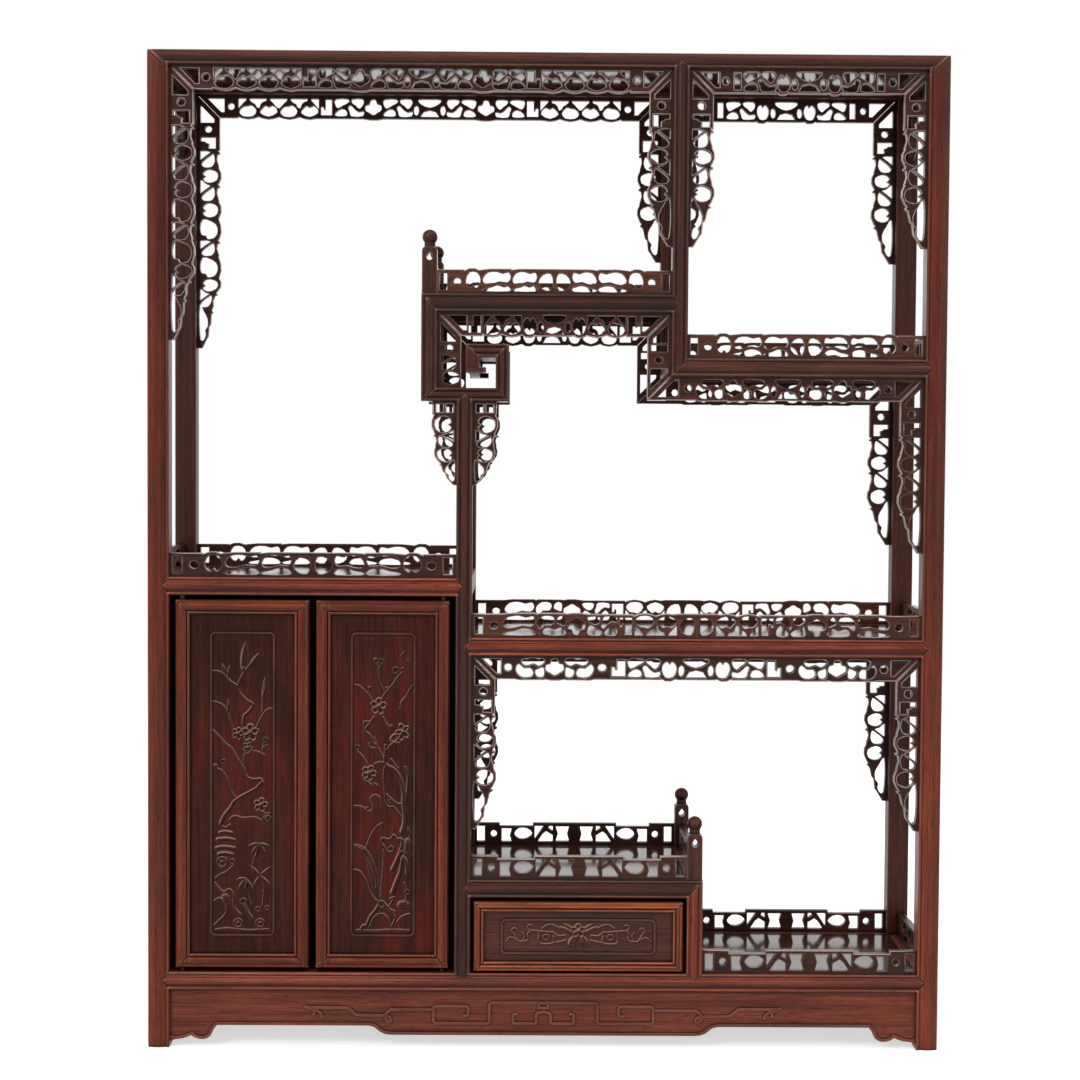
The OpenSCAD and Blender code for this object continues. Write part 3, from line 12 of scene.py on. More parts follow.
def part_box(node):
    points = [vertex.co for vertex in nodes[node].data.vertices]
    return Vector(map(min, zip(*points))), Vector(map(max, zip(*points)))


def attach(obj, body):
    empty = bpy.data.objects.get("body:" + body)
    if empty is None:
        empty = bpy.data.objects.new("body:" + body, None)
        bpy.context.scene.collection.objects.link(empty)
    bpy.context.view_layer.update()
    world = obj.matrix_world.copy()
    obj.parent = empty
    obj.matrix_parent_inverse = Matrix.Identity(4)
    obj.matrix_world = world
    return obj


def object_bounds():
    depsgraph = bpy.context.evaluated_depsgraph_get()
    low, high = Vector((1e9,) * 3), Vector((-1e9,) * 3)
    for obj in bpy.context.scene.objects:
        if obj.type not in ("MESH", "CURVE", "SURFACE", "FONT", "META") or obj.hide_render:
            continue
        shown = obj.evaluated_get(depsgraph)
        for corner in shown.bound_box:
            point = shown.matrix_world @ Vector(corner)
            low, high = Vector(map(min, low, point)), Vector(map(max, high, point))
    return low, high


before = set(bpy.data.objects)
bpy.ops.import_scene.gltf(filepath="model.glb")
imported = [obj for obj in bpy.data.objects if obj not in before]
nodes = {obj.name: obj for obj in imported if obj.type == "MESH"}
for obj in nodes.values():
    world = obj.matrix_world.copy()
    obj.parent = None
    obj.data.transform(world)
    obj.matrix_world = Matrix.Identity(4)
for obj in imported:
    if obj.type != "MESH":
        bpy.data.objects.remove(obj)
cad_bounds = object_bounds()


def mm(*v):
    """Millimetres to metres."""
    return tuple(x / 1000.0 for x in v) if len(v) > 1 else v[0] / 1000.0


def in_scene(name, data):
    """A new object of the scene with this data."""
    obj = bpy.data.objects.new(name, data)
    bpy.context.scene.collection.objects.link(obj)
    return obj


# Camera

PHOTO_PX = 1080
FOCAL_PX = 2200
SENSOR_MM = 36.0
CAMERA_PLACE = mm(-19.5, -1726.1, 458.0)
# Degrees that the camera is turned from looking straight along y, fitted to the photo
YAW, PITCH, ROLL = -0.508, -2.504, -0.378
NEAREST_SEEN, FARTHEST_SEEN = 0.05, 50


def make_camera():
    """The camera at the photo's place, with the photo's angle of view."""
    data = bpy.data.cameras.new("camera")
    data.sensor_width = SENSOR_MM
    data.lens = SENSOR_MM * FOCAL_PX / PHOTO_PX
    data.clip_start = NEAREST_SEEN
    data.clip_end = FARTHEST_SEEN
    cam = in_scene("camera", data)
    turn = (Matrix.Rotation(math.radians(YAW), 4, "Z") @ Matrix.Rotation(math.radians(PITCH), 4, "X")
            @ Matrix.Rotation(math.radians(ROLL), 4, "Y") @ Matrix.Rotation(math.radians(90), 4, "X"))
    cam.matrix_world = Matrix.Translation(CAMERA_PLACE) @ turn
    bpy.context.scene.camera = cam


# Materials

def srgb(r, g, b):
    """A colour given as 0 to 255 on screen, as the linear values that nodes take."""
    def lin(v):
        v /= 255.0
        return v / 12.92 if v <= 0.04045 else ((v + 0.055) / 1.055) ** 2.4
    return (lin(r), lin(g), lin(b), 1.0)


class Nodes:
    """Short calls for making the nodes of a material or a world."""

    def __init__(self, owner):
        owner.use_nodes = True
        self.owner = owner
        self.tree = owner.node_tree

    def add(self, kind, inputs=None, **props):
        """A new node with its inputs set or linked, and its properties set."""
        node = self.tree.nodes.new(kind)
        for key, value in props.items():
            setattr(node, key, value)
        for key, value in (inputs or {}).items():
            self.put(node.inputs[key], value)
        return node

    def put(self, socket, value):
        if isinstance(value, bpy.types.NodeSocket):
            self.tree.links.new(value, socket)
        else:
            socket.default_value = value

    def math(self, op, a, b=0.0, c=0.0, clamp=False):
        node = self.add("ShaderNodeMath", {0: a, 1: b, 2: c}, operation=op)
        node.use_clamp = clamp
        return node.outputs[0]

    def mix(self, fac, a, b, blend="MIX"):
        node = self.add("ShaderNodeMix", data_type="RGBA", blend_type=blend)
        self.put(node.inputs[0], fac)
        self.put(node.inputs[6], a)
        self.put(node.inputs[7], b)
        return node.outputs[2]

    def ramp(self, fac, stops):
        """A colour ramp with the stops given as position and colour."""
        node = self.add("ShaderNodeValToRGB", {"Fac": fac})
        ramp = node.color_ramp
        while len(ramp.elements) < len(stops):
            ramp.elements.new(0.5)
        for el, (pos, col) in zip(ramp.elements, stops):
            el.position = pos
            el.color = col
        return node.outputs["Color"]

    def noise(self, vector, scale, detail=3.0, rough=0.5, distortion=0.0):
        node = self.add("ShaderNodeTexNoise", {"Vector": vector, "Scale": scale, "Detail": detail,
                                              "Roughness": rough, "Distortion": distortion})
        return node.outputs["Fac"]

    def hidden(self, reach, samples, inside=False):
        """1 in the open, and less with anything within reach; inside looks into the wood itself."""
        node = self.add("ShaderNodeAmbientOcclusion", {"Distance": reach}, samples=samples, inside=inside)
        return node.outputs["AO"]

    def coordinates(self, kind):
        """The x, y and z of the object's own Object or Normal coordinate."""
        coord = self.add("ShaderNodeTexCoord").outputs[kind]
        return self.add("ShaderNodeSeparateXYZ", {"Vector": coord}).outputs

    def shade(self, values):
        """Sets or links the inputs of a material's shader."""
        for key, value in values.items():
            self.put(self.tree.nodes["Principled BSDF"].inputs[key], value)



# Turn that brings the grain along each axis to x
GRAIN_TURN = {"x": (0, 0, 0), "y": (0, 0, math.radians(90)), "z": (0, math.radians(90), 0)}


def edge_distance(n, value, low, high):
    """How far a value lies inside the nearer of its two limits."""
    return n.math("MINIMUM", n.math("SUBTRACT", value, low), n.math("SUBTRACT", high, value))


# How far the wood of one seed is moved, along x, y and z
SEED_STEP = (0.731, 0.377, 0.193)


def grain_space(n, grain, seed, box=None):
    """Object coordinates with the grain along x, moved by the seed so that boards differ.

    A grain of two letters is that of a mitred frame in the box: the first letter is the way of its long
    members' grain, and the second that of the members at its ends, up to the mitres.
    """
    coord = n.add("ShaderNodeTexCoord").outputs["Object"]
    moved = tuple(seed * step for step in SEED_STEP)
    spaces = [n.add("ShaderNodeMapping", {"Vector": coord, "Rotation": GRAIN_TURN[way],
                                         "Location": moved}).outputs[0] for way in grain]
    if len(spaces) == 1:
        return spaces[0]
    (first, second) = ["xyz".index(way) for way in grain]
    places = n.add("ShaderNodeSeparateXYZ", {"Vector": coord}).outputs
    to_end = edge_distance(n, places[first], box[0][first], box[1][first])
    to_side = edge_distance(n, places[second], box[0][second], box[1][second])
    node = n.add("ShaderNodeMix", {"Factor": n.math("LESS_THAN", to_end, to_side)}, data_type="VECTOR")
    n.put(node.inputs[4], spaces[0])
    n.put(node.inputs[5], spaces[1])
    return node.outputs[1]


def grey(v):
    return (v, v, v, 1.0)


# Noises of the grain: squeeze along and across it, scale, detail, roughness, distortion
BANDS = (1.1, 58.0, 4.2, 5.0, 0.62, 0.7)
FINE = (5.0, 150.0, 5.5, 4.0, 0.65, 0.2)
PORES = (28.0, 620.0, 4.0, 2.0, 0.6)
CLOUDS = (7.0, 30.0, 1.0, 3.0, 0.55, 0.6)
# Scale and detail of the noises that blur the bands and make the wear uneven
BLUR = (9.0, 2.0)
UNEVEN = (40.0, 2.0)
BAND_SHARE, BLUR_SHARE = 0.7, 0.3
PORE_STRENGTH = 0.8
HOLLOW_SHADE_STRENGTH = 0.9
# Places of the dark, middle, light and again the middle colour on the bands
BAND_STOPS = (0.3, 0.47, 0.62, 0.8)
CLOUD_MASK = [(0.5, grey(0)), (0.68, grey(0.75))]
FINE_TONE = [(0.32, (0.62, 0.56, 0.56, 1)), (0.5, grey(1)), (0.72, (1.3, 1.24, 1.2, 1))]
PORE_TONE = [(0.34, (0.3, 0.25, 0.25, 1)), (0.43, grey(1))]
# Painted shade in hollows and in grooves
HOLLOW_SHADE_TONE = [(0.12, grey(0.06)), (0.4, (0.42, 0.38, 0.38, 1)), (0.78, grey(1))]
GROOVE_SHADE_TONE = [(0.45, grey(0.05)), (0.72, grey(0.42)), (0.93, grey(1))]
THIN_MASK = [(0.5, grey(1)), (0.86, grey(0))]
OPEN_MASK = [(0.35, grey(0)), (0.7, grey(1))]
UNEVEN_MASK = [(0.3, grey(0.45)), (0.65, grey(1))]
# How near the other side of a hollow or a groove must be for painted shade in it, how thin an edge is that
# gets wear and a painted highlight, and rays for each
HOLLOW, GROOVE, THIN = (mm(7), 6), (mm(2), 8), (mm(1.6), 8)
# Pale colour of edges: wear and a painted highlight
WEAR_AND_HIGHLIGHT = srgb(172, 126, 106)
BUMP_DEPTH = mm(0.4)
FINE_BUMP, PORE_BUMP = 0.5, 0.5
COAT_ROUGHNESS = 0.18
LOOKS_UP = 0.5       # the least z of the normal of a top that is dull
# Roughness over the fine streaks, as shares of the wood's roughness
ROUGH_MOST, ROUGH_FALL = 1.18, 0.36
# Painted light and shade that a slope gets for looking up, and for looking left, and its limits
UP_PAINTED_LIGHT, LEFT_PAINTED_LIGHT, SIDE_LIGHT_LEAST, SIDE_LIGHT_MOST = 1.3, 0.6, 0.3, 1.75
# How strong the painted highlight on a carved lip is anywhere, looking up and looking left
LIP_HIGHLIGHT_BASE, LIP_UP, LIP_LEFT = 0.3, 2.2, 1.0
PALER_UP_TO = mm(500)    # a post is palest at the floor, and not paler at all at this height
PALER_COLD = 1.2         # how much more green and blue are raised than red

# Tone across a member with painted lines, from its edge (0) to its middle (0.5): a painted highlight line,
# then a painted groove shade line
PAINTED_LINE_TONES = [(0.19, grey(1)), (0.232, grey(1.5)), (0.26, grey(1)), (0.295, grey(0.12)),
           (0.335, grey(1))]


def slopes(n):
    """How far a surface of a moulding looks up, and to the left; 0 on every flat face of the cabinet."""
    x, y, z = n.coordinates("Normal")
    level = n.math("SQRT", n.math("SUBTRACT", 1.0, n.math("MULTIPLY", z, z), clamp=True))
    up = n.math("MULTIPLY", z, level)
    left = n.math("MULTIPLY", n.math("MULTIPLY", x, -1.0), n.math("ABSOLUTE", y))
    return up, left


def streaks(n, space, along, across, *noise):
    """A noise that is drawn out along the grain."""
    stretched = n.add("ShaderNodeMapping", {"Vector": space, "Scale": (along, across, across)})
    return n.noise(stretched.outputs[0], *noise)


def times(n, color, tone, fac=1.0):
    return n.mix(fac, color, tone, "MULTIPLY")


def banded(n, space, dark, mid, light, patch):
    """Bands along the grain, with clouds of the patch colour if there is one."""
    bands = n.math("MULTIPLY", streaks(n, space, *BANDS), BAND_SHARE)
    blur = n.math("MULTIPLY", n.noise(space, *BLUR), BLUR_SHARE)
    color = n.ramp(n.math("ADD", bands, blur), list(zip(BAND_STOPS, (dark, mid, light, mid))))
    if patch:
        clouds = n.ramp(streaks(n, space, *CLOUDS), CLOUD_MASK)
        color = n.mix(clouds, color, patch)
    return color


def painted_bead_lines(n, color, axis, box):
    """A painted highlight line and a painted groove shade line beside both edges of a member whose width
    is along the axis.
    """
    i = "xyz".index(axis)
    low, high = box[0][i], box[1][i]
    inward = edge_distance(n, n.coordinates("Object")[i], low, high)
    return times(n, color, n.ramp(n.math("DIVIDE", inward, high - low), PAINTED_LINE_TONES))


def paler_towards_floor(n, color, faded):
    """Paler towards the floor."""
    near_floor = n.math("MULTIPLY_ADD", n.coordinates("Object")["Z"], -1 / PALER_UP_TO, 1.0, clamp=True)
    cold = 1 + PALER_COLD * faded
    return times(n, color, (1 + faded, cold, cold, 1), near_floor)


def wear_and_highlight(n, color, space, open_air, edge):
    """Beads and arrises get wear and a painted highlight: a ray into the wood soon leaves it there."""
    thin = n.ramp(n.hidden(*THIN, inside=True), THIN_MASK)
    free = n.ramp(open_air, OPEN_MASK)
    uneven = n.ramp(n.noise(space, *UNEVEN), UNEVEN_MASK)
    mask = n.math("MULTIPLY", n.math("MULTIPLY", thin, free), n.math("MULTIPLY", uneven, edge), clamp=True)
    return n.mix(mask, color, WEAR_AND_HIGHLIGHT)


def painted_side_light(n, color, lip):
    """Painted light on the upper and left sides of mouldings and painted shade on the lower ones, and a
    painted highlight on carved lips.
    """
    up, left = slopes(n)
    if lip:
        highlight_share = n.math("MULTIPLY_ADD", up, LIP_UP, n.math("MULTIPLY_ADD", left, LIP_LEFT, LIP_HIGHLIGHT_BASE),
                        clamp=True)
        on_lip = n.add("ShaderNodeAttribute", attribute_name="lip").outputs["Fac"]
        color = n.mix(n.math("MULTIPLY", on_lip, highlight_share), color, lip)
    tone = n.math("MULTIPLY_ADD", up, UP_PAINTED_LIGHT, n.math("MULTIPLY_ADD", left, LEFT_PAINTED_LIGHT, 1.0))
    tone = n.math("MINIMUM", n.math("MAXIMUM", tone, SIDE_LIGHT_LEAST), SIDE_LIGHT_MOST)
    tones = n.add("ShaderNodeCombineColor", {"Red": tone, "Green": tone, "Blue": tone})
    return times(n, color, tones.outputs[0])


def rosewood(name, dark, mid, light, grain="x", seed=0.0, rough=0.34, edge=0.35, gloss=0.13, coat=0.03,
             patch=None, grooves=0.75, lip=None, bump=0.22, box=None, dull_top=None, faded=0.0,
             painted_line_axis=None):
    """Oiled rosewood: long streaks, fine open pores, painted shade in grooves and hollows, edges with wear
    and a painted highlight, and painted light and shade on sloping sides.
    """
    n = Nodes(bpy.data.materials.new(name))
    space = grain_space(n, grain, seed, box)
    fine = streaks(n, space, *FINE)
    pores = streaks(n, space, *PORES)
    color = banded(n, space, dark, mid, light, patch)
    # Painted highlight and groove shade lines beside the beads
    if painted_line_axis:
        color = painted_bead_lines(n, color, painted_line_axis, box)
    if faded:
        color = paler_towards_floor(n, color, faded)
    color = times(n, color, n.ramp(fine, FINE_TONE))
    color = times(n, color, n.ramp(pores, PORE_TONE), PORE_STRENGTH)
    # Painted shade in hollows, between parts and in grooves, where other surfaces are near
    open_air = n.hidden(*HOLLOW)
    color = times(n, color, n.ramp(open_air, HOLLOW_SHADE_TONE), HOLLOW_SHADE_STRENGTH)
    if grooves:
        color = times(n, color, n.ramp(n.hidden(*GROOVE), GROOVE_SHADE_TONE), grooves)
    color = wear_and_highlight(n, color, space, open_air, edge)
    roughness = n.math("MULTIPLY_ADD", fine, -ROUGH_FALL * rough, ROUGH_MOST * rough)
    if dull_top:
        looks_up = n.math("GREATER_THAN", n.coordinates("Normal")["Z"], LOOKS_UP)
        roughness = n.math("MULTIPLY_ADD", looks_up, dull_top, roughness)
    height = n.math("ADD", n.math("MULTIPLY", fine, FINE_BUMP), n.math("MULTIPLY", pores, PORE_BUMP))
    uneven = n.add("ShaderNodeBump", {"Height": height, "Strength": bump, "Distance": BUMP_DEPTH})
    n.shade({"Base Color": painted_side_light(n, color, lip), "Roughness": roughness,
             "Specular IOR Level": gloss, "Coat Weight": coat, "Coat Roughness": COAT_ROUGHNESS,
             "Normal": uneven.outputs[0]})
    return n.owner


def wood(dark, mid, light, **more):
    """Colours of a wood, with what differs from the usual gloss, coat, painted shade in grooves and bump.
    """
    return dict(dark=srgb(*dark), mid=srgb(*mid), light=srgb(*light), **more)


POST = wood((68, 31, 21), (88, 38, 24), (104, 46, 29), faded=0.6)
RIGHT_POST = wood((68, 31, 21), (90, 39, 25), (108, 48, 30), faded=1.0)
TOP = wood((60, 32, 26), (76, 41, 33), (90, 49, 39))
RAIL = wood((84, 38, 26), (118, 56, 39), (146, 74, 50))
BASE_RAIL = wood((84, 43, 33), (118, 62, 47), (146, 79, 58))
BASE = wood((74, 38, 29), (108, 56, 41), (136, 72, 51))
INNER = wood((44, 23, 19), (65, 34, 28), (84, 44, 34))
RIGHT_RAIL = wood((62, 35, 29), (86, 48, 40), (108, 61, 49))
HOOK = wood((44, 25, 21), (64, 36, 30), (84, 47, 37))
DEEP = wood((36, 21, 19), (52, 30, 26), (72, 41, 34))
DRAWER_RAIL = wood((46, 27, 23), (66, 37, 31), (90, 50, 41))
DARK = wood((34, 19, 16), (50, 28, 23), (68, 37, 29))
FLOOR = wood((46, 23, 17), (70, 36, 27), (92, 49, 35), gloss=0.4, coat=0.1, bump=0.01)
UNDER = wood((44, 23, 18), (62, 32, 25), (78, 42, 31), gloss=1.0, coat=0.0, bump=0.005, dull_top=0.5)
FRET = wood((38, 22, 18), (56, 31, 25), (76, 43, 34))
WARM_FRET = wood((54, 29, 23), (80, 43, 33), (108, 60, 45), gloss=0.16)
# Rims are paler than the boards, wear and a painted highlight; the highlight rims are paler still, a
# painted highlight
RIM = wood((64, 39, 32), (88, 55, 45), (114, 76, 63), gloss=0.3, coat=0.1, grooves=0.0)
HIGHLIGHT_RIM = wood((90, 68, 61), (122, 97, 89), (152, 127, 118), gloss=0.8, coat=0.5, grooves=0.0)
# Outer edges of the pierced boards are lighter: a painted highlight
LIP_HIGHLIGHT = wood((120, 92, 82), (156, 128, 117), (190, 165, 154), gloss=0.8, coat=0.5, grooves=0.0)
GLUE = wood((14, 8, 7), (22, 12, 10), (34, 18, 14), grooves=0.0)
DOOR = wood((70, 31, 20), (102, 46, 29), (132, 62, 38))
DRAWER = wood((96, 46, 30), (144, 74, 46), (174, 96, 58))
PANEL = wood((42, 20, 16), (56, 26, 19), (70, 34, 24), patch=srgb(92, 31, 18), grooves=0.9, gloss=0.09,
             coat=0.0)
DRAWER_PANEL = wood((56, 31, 25), (76, 43, 34), (94, 55, 43), grooves=0.9)
# The lip colours of the carvings are a painted highlight
CARVED_DRAWER = wood((58, 32, 26), (78, 44, 35), (96, 56, 44), grooves=0.9, lip=srgb(150, 112, 97))
CARVED = wood((42, 21, 17), (58, 29, 22), (74, 38, 28), grooves=0.9, lip=srgb(142, 104, 90),
              gloss=0.09, coat=0.0)


# Members with a painted highlight line and a painted shade line beside their beads, and the axis across
# the member
PAINTED_LINE_AXES = {
    **dict.fromkeys(["base_rails", "left_shelf_rails", "middle_shelf_rails", "right_shelf_rails",
                     "upper_shelf_rails", "drawer_shelf_rails"], "z"),
    **dict.fromkeys(["divider_posts", "drawer_posts", "upper_posts"], "x"),
}

# Beginnings of node names, colours, direction of the grain, roughness, edges with wear and a painted
# highlight
LOOKS = [
    ("post_front", POST, "z", 0.36, 0.5),
    ("post_front_right", RIGHT_POST, "z", 0.36, 0.5),
    ("post_back", INNER, "z", 0.4, 0.3),
    ("top_rails", TOP, "xy", 0.36, 0.5),
    ("base_rails", BASE_RAIL, "xy", 0.34, 0.55),
    ("apron", BASE, "xy", 0.38, 0.55),
    ("divider_posts", INNER, "z", 0.36, 0.5),
    ("upper_posts", INNER, "z", 0.36, 0.35),
    ("drawer_posts", RAIL, "z", 0.36, 0.45),
    ("hook_frames", HOOK, "xz", 0.34, 0.35),
    ("hook_boards", INNER, "y", 0.3, 0.2),
    ("upper_shelf_rails", DEEP, "xy", 0.34, 0.4),
    ("drawer_shelf_rails", DRAWER_RAIL, "xy", 0.34, 0.55),
    ("left_shelf_rails middle_shelf_rails", RAIL, "xy", 0.34, 0.55),
    ("right_shelf_rails", RIGHT_RAIL, "xy", 0.34, 0.4),
    ("upper_shelf_panel right_shelf_panel left_shelf_panel middle_shelf_panel", FLOOR, "x", 0.12, 0.1),
    ("drawer_shelf_panel base_panel", FLOOR, "x", 0.1, 0.1),
    ("top_panel", UNDER, "x", 0.08, 0.1),
    ("frieze gallery", FRET, "x", 0.34, 0.3),
    ("frieze_ends", FRET, "y", 0.34, 0.3),
    ("spandrels", FRET, "z", 0.34, 0.3),
    ("gallery_upper gallery_right gallery_middle", WARM_FRET, "x", 0.34, 0.3),
    ("finials", HOOK, "z", 0.34, 0.4),
    ("cupboard drawer_end_panel", DARK, "z", 0.42, 0.2),
    ("drawer_back_panel", DARK, "x", 0.42, 0.2),
    ("door_left_frame door_right_frame", DOOR, "zx", 0.32, 0.5),
    ("door_left_panel door_right_panel", PANEL, "z", 0.36, 0.25),
    ("drawer_front_frame", DRAWER, "xz", 0.32, 0.5),
    ("drawer_front_panel", DRAWER_PANEL, "x", 0.36, 0.25),
    ("drawer_box drawer_guides", DARK, "y", 0.5, 0.2),
]


def look_of(name):
    """The look with the longest beginning of the name."""
    fits = [(len(start), look) for starts, *look in LOOKS for start in starts.split()
            if name.startswith(start)]
    return max(fits, key=lambda fit: fit[0])[1]


# Seed of the first node's wood, and the step to the next
FIRST_SEED, NEXT_SEED = 1.0, 0.37


def dress_nodes():
    """Every CAD node gets its own wood."""
    for i, name in enumerate(sorted(nodes)):
        colours, grain, rough, edge = look_of(name)
        obj = nodes[name]
        mat = rosewood("wood_" + name, grain=grain, seed=FIRST_SEED + NEXT_SEED * i, rough=rough,
                       edge=edge, box=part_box(name), painted_line_axis=PAINTED_LINE_AXES.get(name), **colours)
        for slot in obj.material_slots:
            slot.material = mat


# Pieces

def new_piece(name, verts, faces, mat, body):
    """A smooth mesh piece that rides on a body."""
    mesh = bpy.data.meshes.new(name)
    mesh.from_pydata(verts, [], faces)
    mesh.polygons.foreach_set("use_smooth", [True] * len(mesh.polygons))
    mesh.materials.append(mat)
    piece = in_scene(name, mesh)
    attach(piece, body)
    return piece


# Carved rims round the openings of the pierced boards

RIM_W = 0.00036      # half the width of a rim
RIM_IN = 0.00038     # from the edge of an opening to the middle of its rim
RIM_UP = 0.0004      # how far a rim stands over the face
RIM_SUNK = 0.0002    # how far its sides go into the board
RIM_STEPS = 4
TOUCHING = 0.0004    # an edge nearer than this to a post, rail or board has no rim
MITRE_MOST = 1.6     # most that a rim is widened at a corner
NARROWEST = 0.3      # least cosine that a corner is widened by
TURNED_BACK = 1e-3   # an outline turns back where its two ways outwards add up to less
SAME_POINT = 1e-5    # points of a face nearer than this are one
SAME_WAY = 0.99      # least cosine of a face that looks the way that is searched
ACROSS = 0.5         # most cosine of a face that stands across it
SHORTEST = 5e-5      # shorter sides of an opening are left out
OUTER_HALF = 0.02    # a board's face that far from the middle of the cabinet is an outer one


def rim_loops(mesh, face_way):
    """Closed chains of points round a board's face; the wood is on the left of each chain."""
    bm = bmesh.new()
    bm.from_mesh(mesh)
    bmesh.ops.remove_doubles(bm, verts=bm.verts, dist=SAME_POINT)
    after = {}
    for face in bm.faces:
        if face.normal.dot(face_way) < SAME_WAY:
            continue
        for loop in face.loops:
            others = [f for f in loop.edge.link_faces if f != face]
            if others and abs(others[0].normal.dot(face_way)) < ACROSS:
                after.setdefault(loop.vert, []).append(loop.link_loop_next.vert)
    chains = []
    while after:
        start = next(iter(after))
        chain = [start]
        here = start
        while here in after:
            following = after[here].pop()
            if not after[here]:
                del after[here]
            here = following
            if here == start:
                break
            chain.append(here)
        if here == start and len(chain) > 2:
            chains.append([v.co.copy() for v in chain])
    bm.free()
    return chains


def rim_profile():
    """Points across a rim, as the distance from the edge and the height over the face."""
    turns = [math.pi * i / RIM_STEPS for i in range(RIM_STEPS + 1)]
    bead = [(RIM_IN - RIM_W * math.cos(a), RIM_UP * math.sin(a)) for a in turns]
    return [(RIM_IN - RIM_W, -RIM_SUNK), *bead, (RIM_IN + RIM_W, -RIM_SUNK)]


def add_rim(points, way, verts, faces, carcass):
    """A half-round bead along a closed chain, a little inside the edge, where nothing touches it."""
    points = [p for i, p in enumerate(points) if (p - points[i - 1]).length > SHORTEST]
    count = len(points)
    if count < 3:
        return
    free = [carcass.find_nearest((p + points[(i + 1) % count]) / 2, TOUCHING)[0] is None
            for i, p in enumerate(points)]
    first = len(verts)
    profile = rim_profile()
    for i, p in enumerate(points):
        before = way.cross((p - points[i - 1]).normalized())
        behind = way.cross((points[(i + 1) % count] - p).normalized())
        side = before + behind
        if side.length < TURNED_BACK:
            side = before
        side.normalize()
        side *= min(MITRE_MOST, 1 / max(NARROWEST, side.dot(before)))
        for across, up in profile:
            verts.append(p + side * across + way * up)
    k = len(profile)
    for i in range(count):
        a, b = first + i * k, first + (i + 1) % count * k
        if not free[i]:
            continue
        for j in range(k):
            up = (j + 1) % k
            faces.append((a + j, b + j, b + up, a + up))
        if not free[i - 1]:
            faces.append(tuple(range(a, a + k)))
        if not free[(i + 1) % count]:
            faces.append(tuple(range(b + k - 1, b - 1, -1)))


# Beginnings of the names of the frame's members
MEMBERS = ("post", "top_rails", "base_rails", "divider", "upper_posts", "upper_shelf_rails", "left_shelf",
           "right_shelf", "middle_shelf", "drawer_shelf", "drawer_posts", "hook_frames", "finials")
# Friezes whose rims are paler still, a painted highlight
HIGHLIGHT_RIM_FRIEZES = ("frieze_top", "frieze_ends", "spandrels", "frieze_middle")
FRONT, BACK, LEFT, RIGHT = Vector((0, -1, 0)), Vector((0, 1, 0)), Vector((-1, 0, 0)), Vector((1, 0, 0))


def tree_of(*starts):
    """A search tree of the CAD nodes whose names begin so."""
    whole = bmesh.new()
    for name, obj in nodes.items():
        if name.startswith(starts):
            whole.from_mesh(obj.data)
    tree = BVHTree.FromBMesh(whole)
    whole.free()
    return tree


def winding(chain, way):
    """Positive for the outline of a board, and negative for an opening in it."""
    return sum((a.cross(b) for a, b in zip(chain, chain[1:] + chain[:1])), Vector()).dot(way)


def make_rims():
    """The rims of the openings, and the outer edges, which are lighter, a painted highlight."""
    carcass = tree_of(*MEMBERS, "upper_shelf_panel", "top_panel", "base_panel")
    rim, highlight_rim, lip = [
        rosewood(name, seed=4.2, rough=0.3, edge=0.0, **colours)
        for name, colours in (("rim_wood", RIM), ("sharp_rim_wood", HIGHLIGHT_RIM), ("lip_wood", LIP_HIGHLIGHT))]
    for name in sorted(nodes):
        if not name.startswith(("frieze", "gallery", "spandrels")):
            continue
        woods = {"rims_": highlight_rim if name.startswith(HIGHLIGHT_RIM_FRIEZES) else rim, "lip_highlights_": lip}
        made = {kind: ([], []) for kind in woods}
        mesh = nodes[name].data
        for way in (FRONT, BACK, LEFT, RIGHT):
            for chain in rim_loops(mesh, way):
                middle = sum(chain, Vector()) / len(chain)
                if middle.dot(way) > OUTER_HALF:
                    kind = "lip_highlights_" if winding(chain, way) > 0 else "rims_"
                    add_rim(chain, way, *made[kind], carcass)
        for kind, (verts, faces) in made.items():
            if faces:
                new_piece(kind + name, verts, faces, woods[kind], "cabinet")


# Glue lines at the mitres and the pointed shoulders

GLUE_W = 0.0009       # width of a line
GLUE_UP = 0.00004     # how far it stands over the wood
GLUE_DEEP = 0.0006    # how far it goes into the joint
GLUE_STEP = 0.0004    # from one point of a line to the next
GLUE_START = 0.01     # how far before the cabinet the search for its front begins
GLUE_REACH = 0.04     # how far behind the front a joint may lie
POINT_L = mm(5)       # how far a pointed shoulder runs into the member it meets
DOOR_FRAME_W = mm(11)
DRAWER_FRAME_W = mm(8)
PIN_REACH = mm(6.4, 7.4)  # how far the pivot pins reach below and above a door
NO_PINS = (0, 0)


def span(name):
    """Left, right, low and high of a node in front view."""
    low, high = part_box(name)
    return low[0], high[0], low[2], high[2]


def frame_mitres(left, right, low, high, w):
    """The four mitres of a frame whose members are w wide."""
    return [[(x, z), (x + a * w, z + b * w)]
            for x, a in ((left, 1), (right, -1)) for z, b in ((low, 1), (high, -1))]


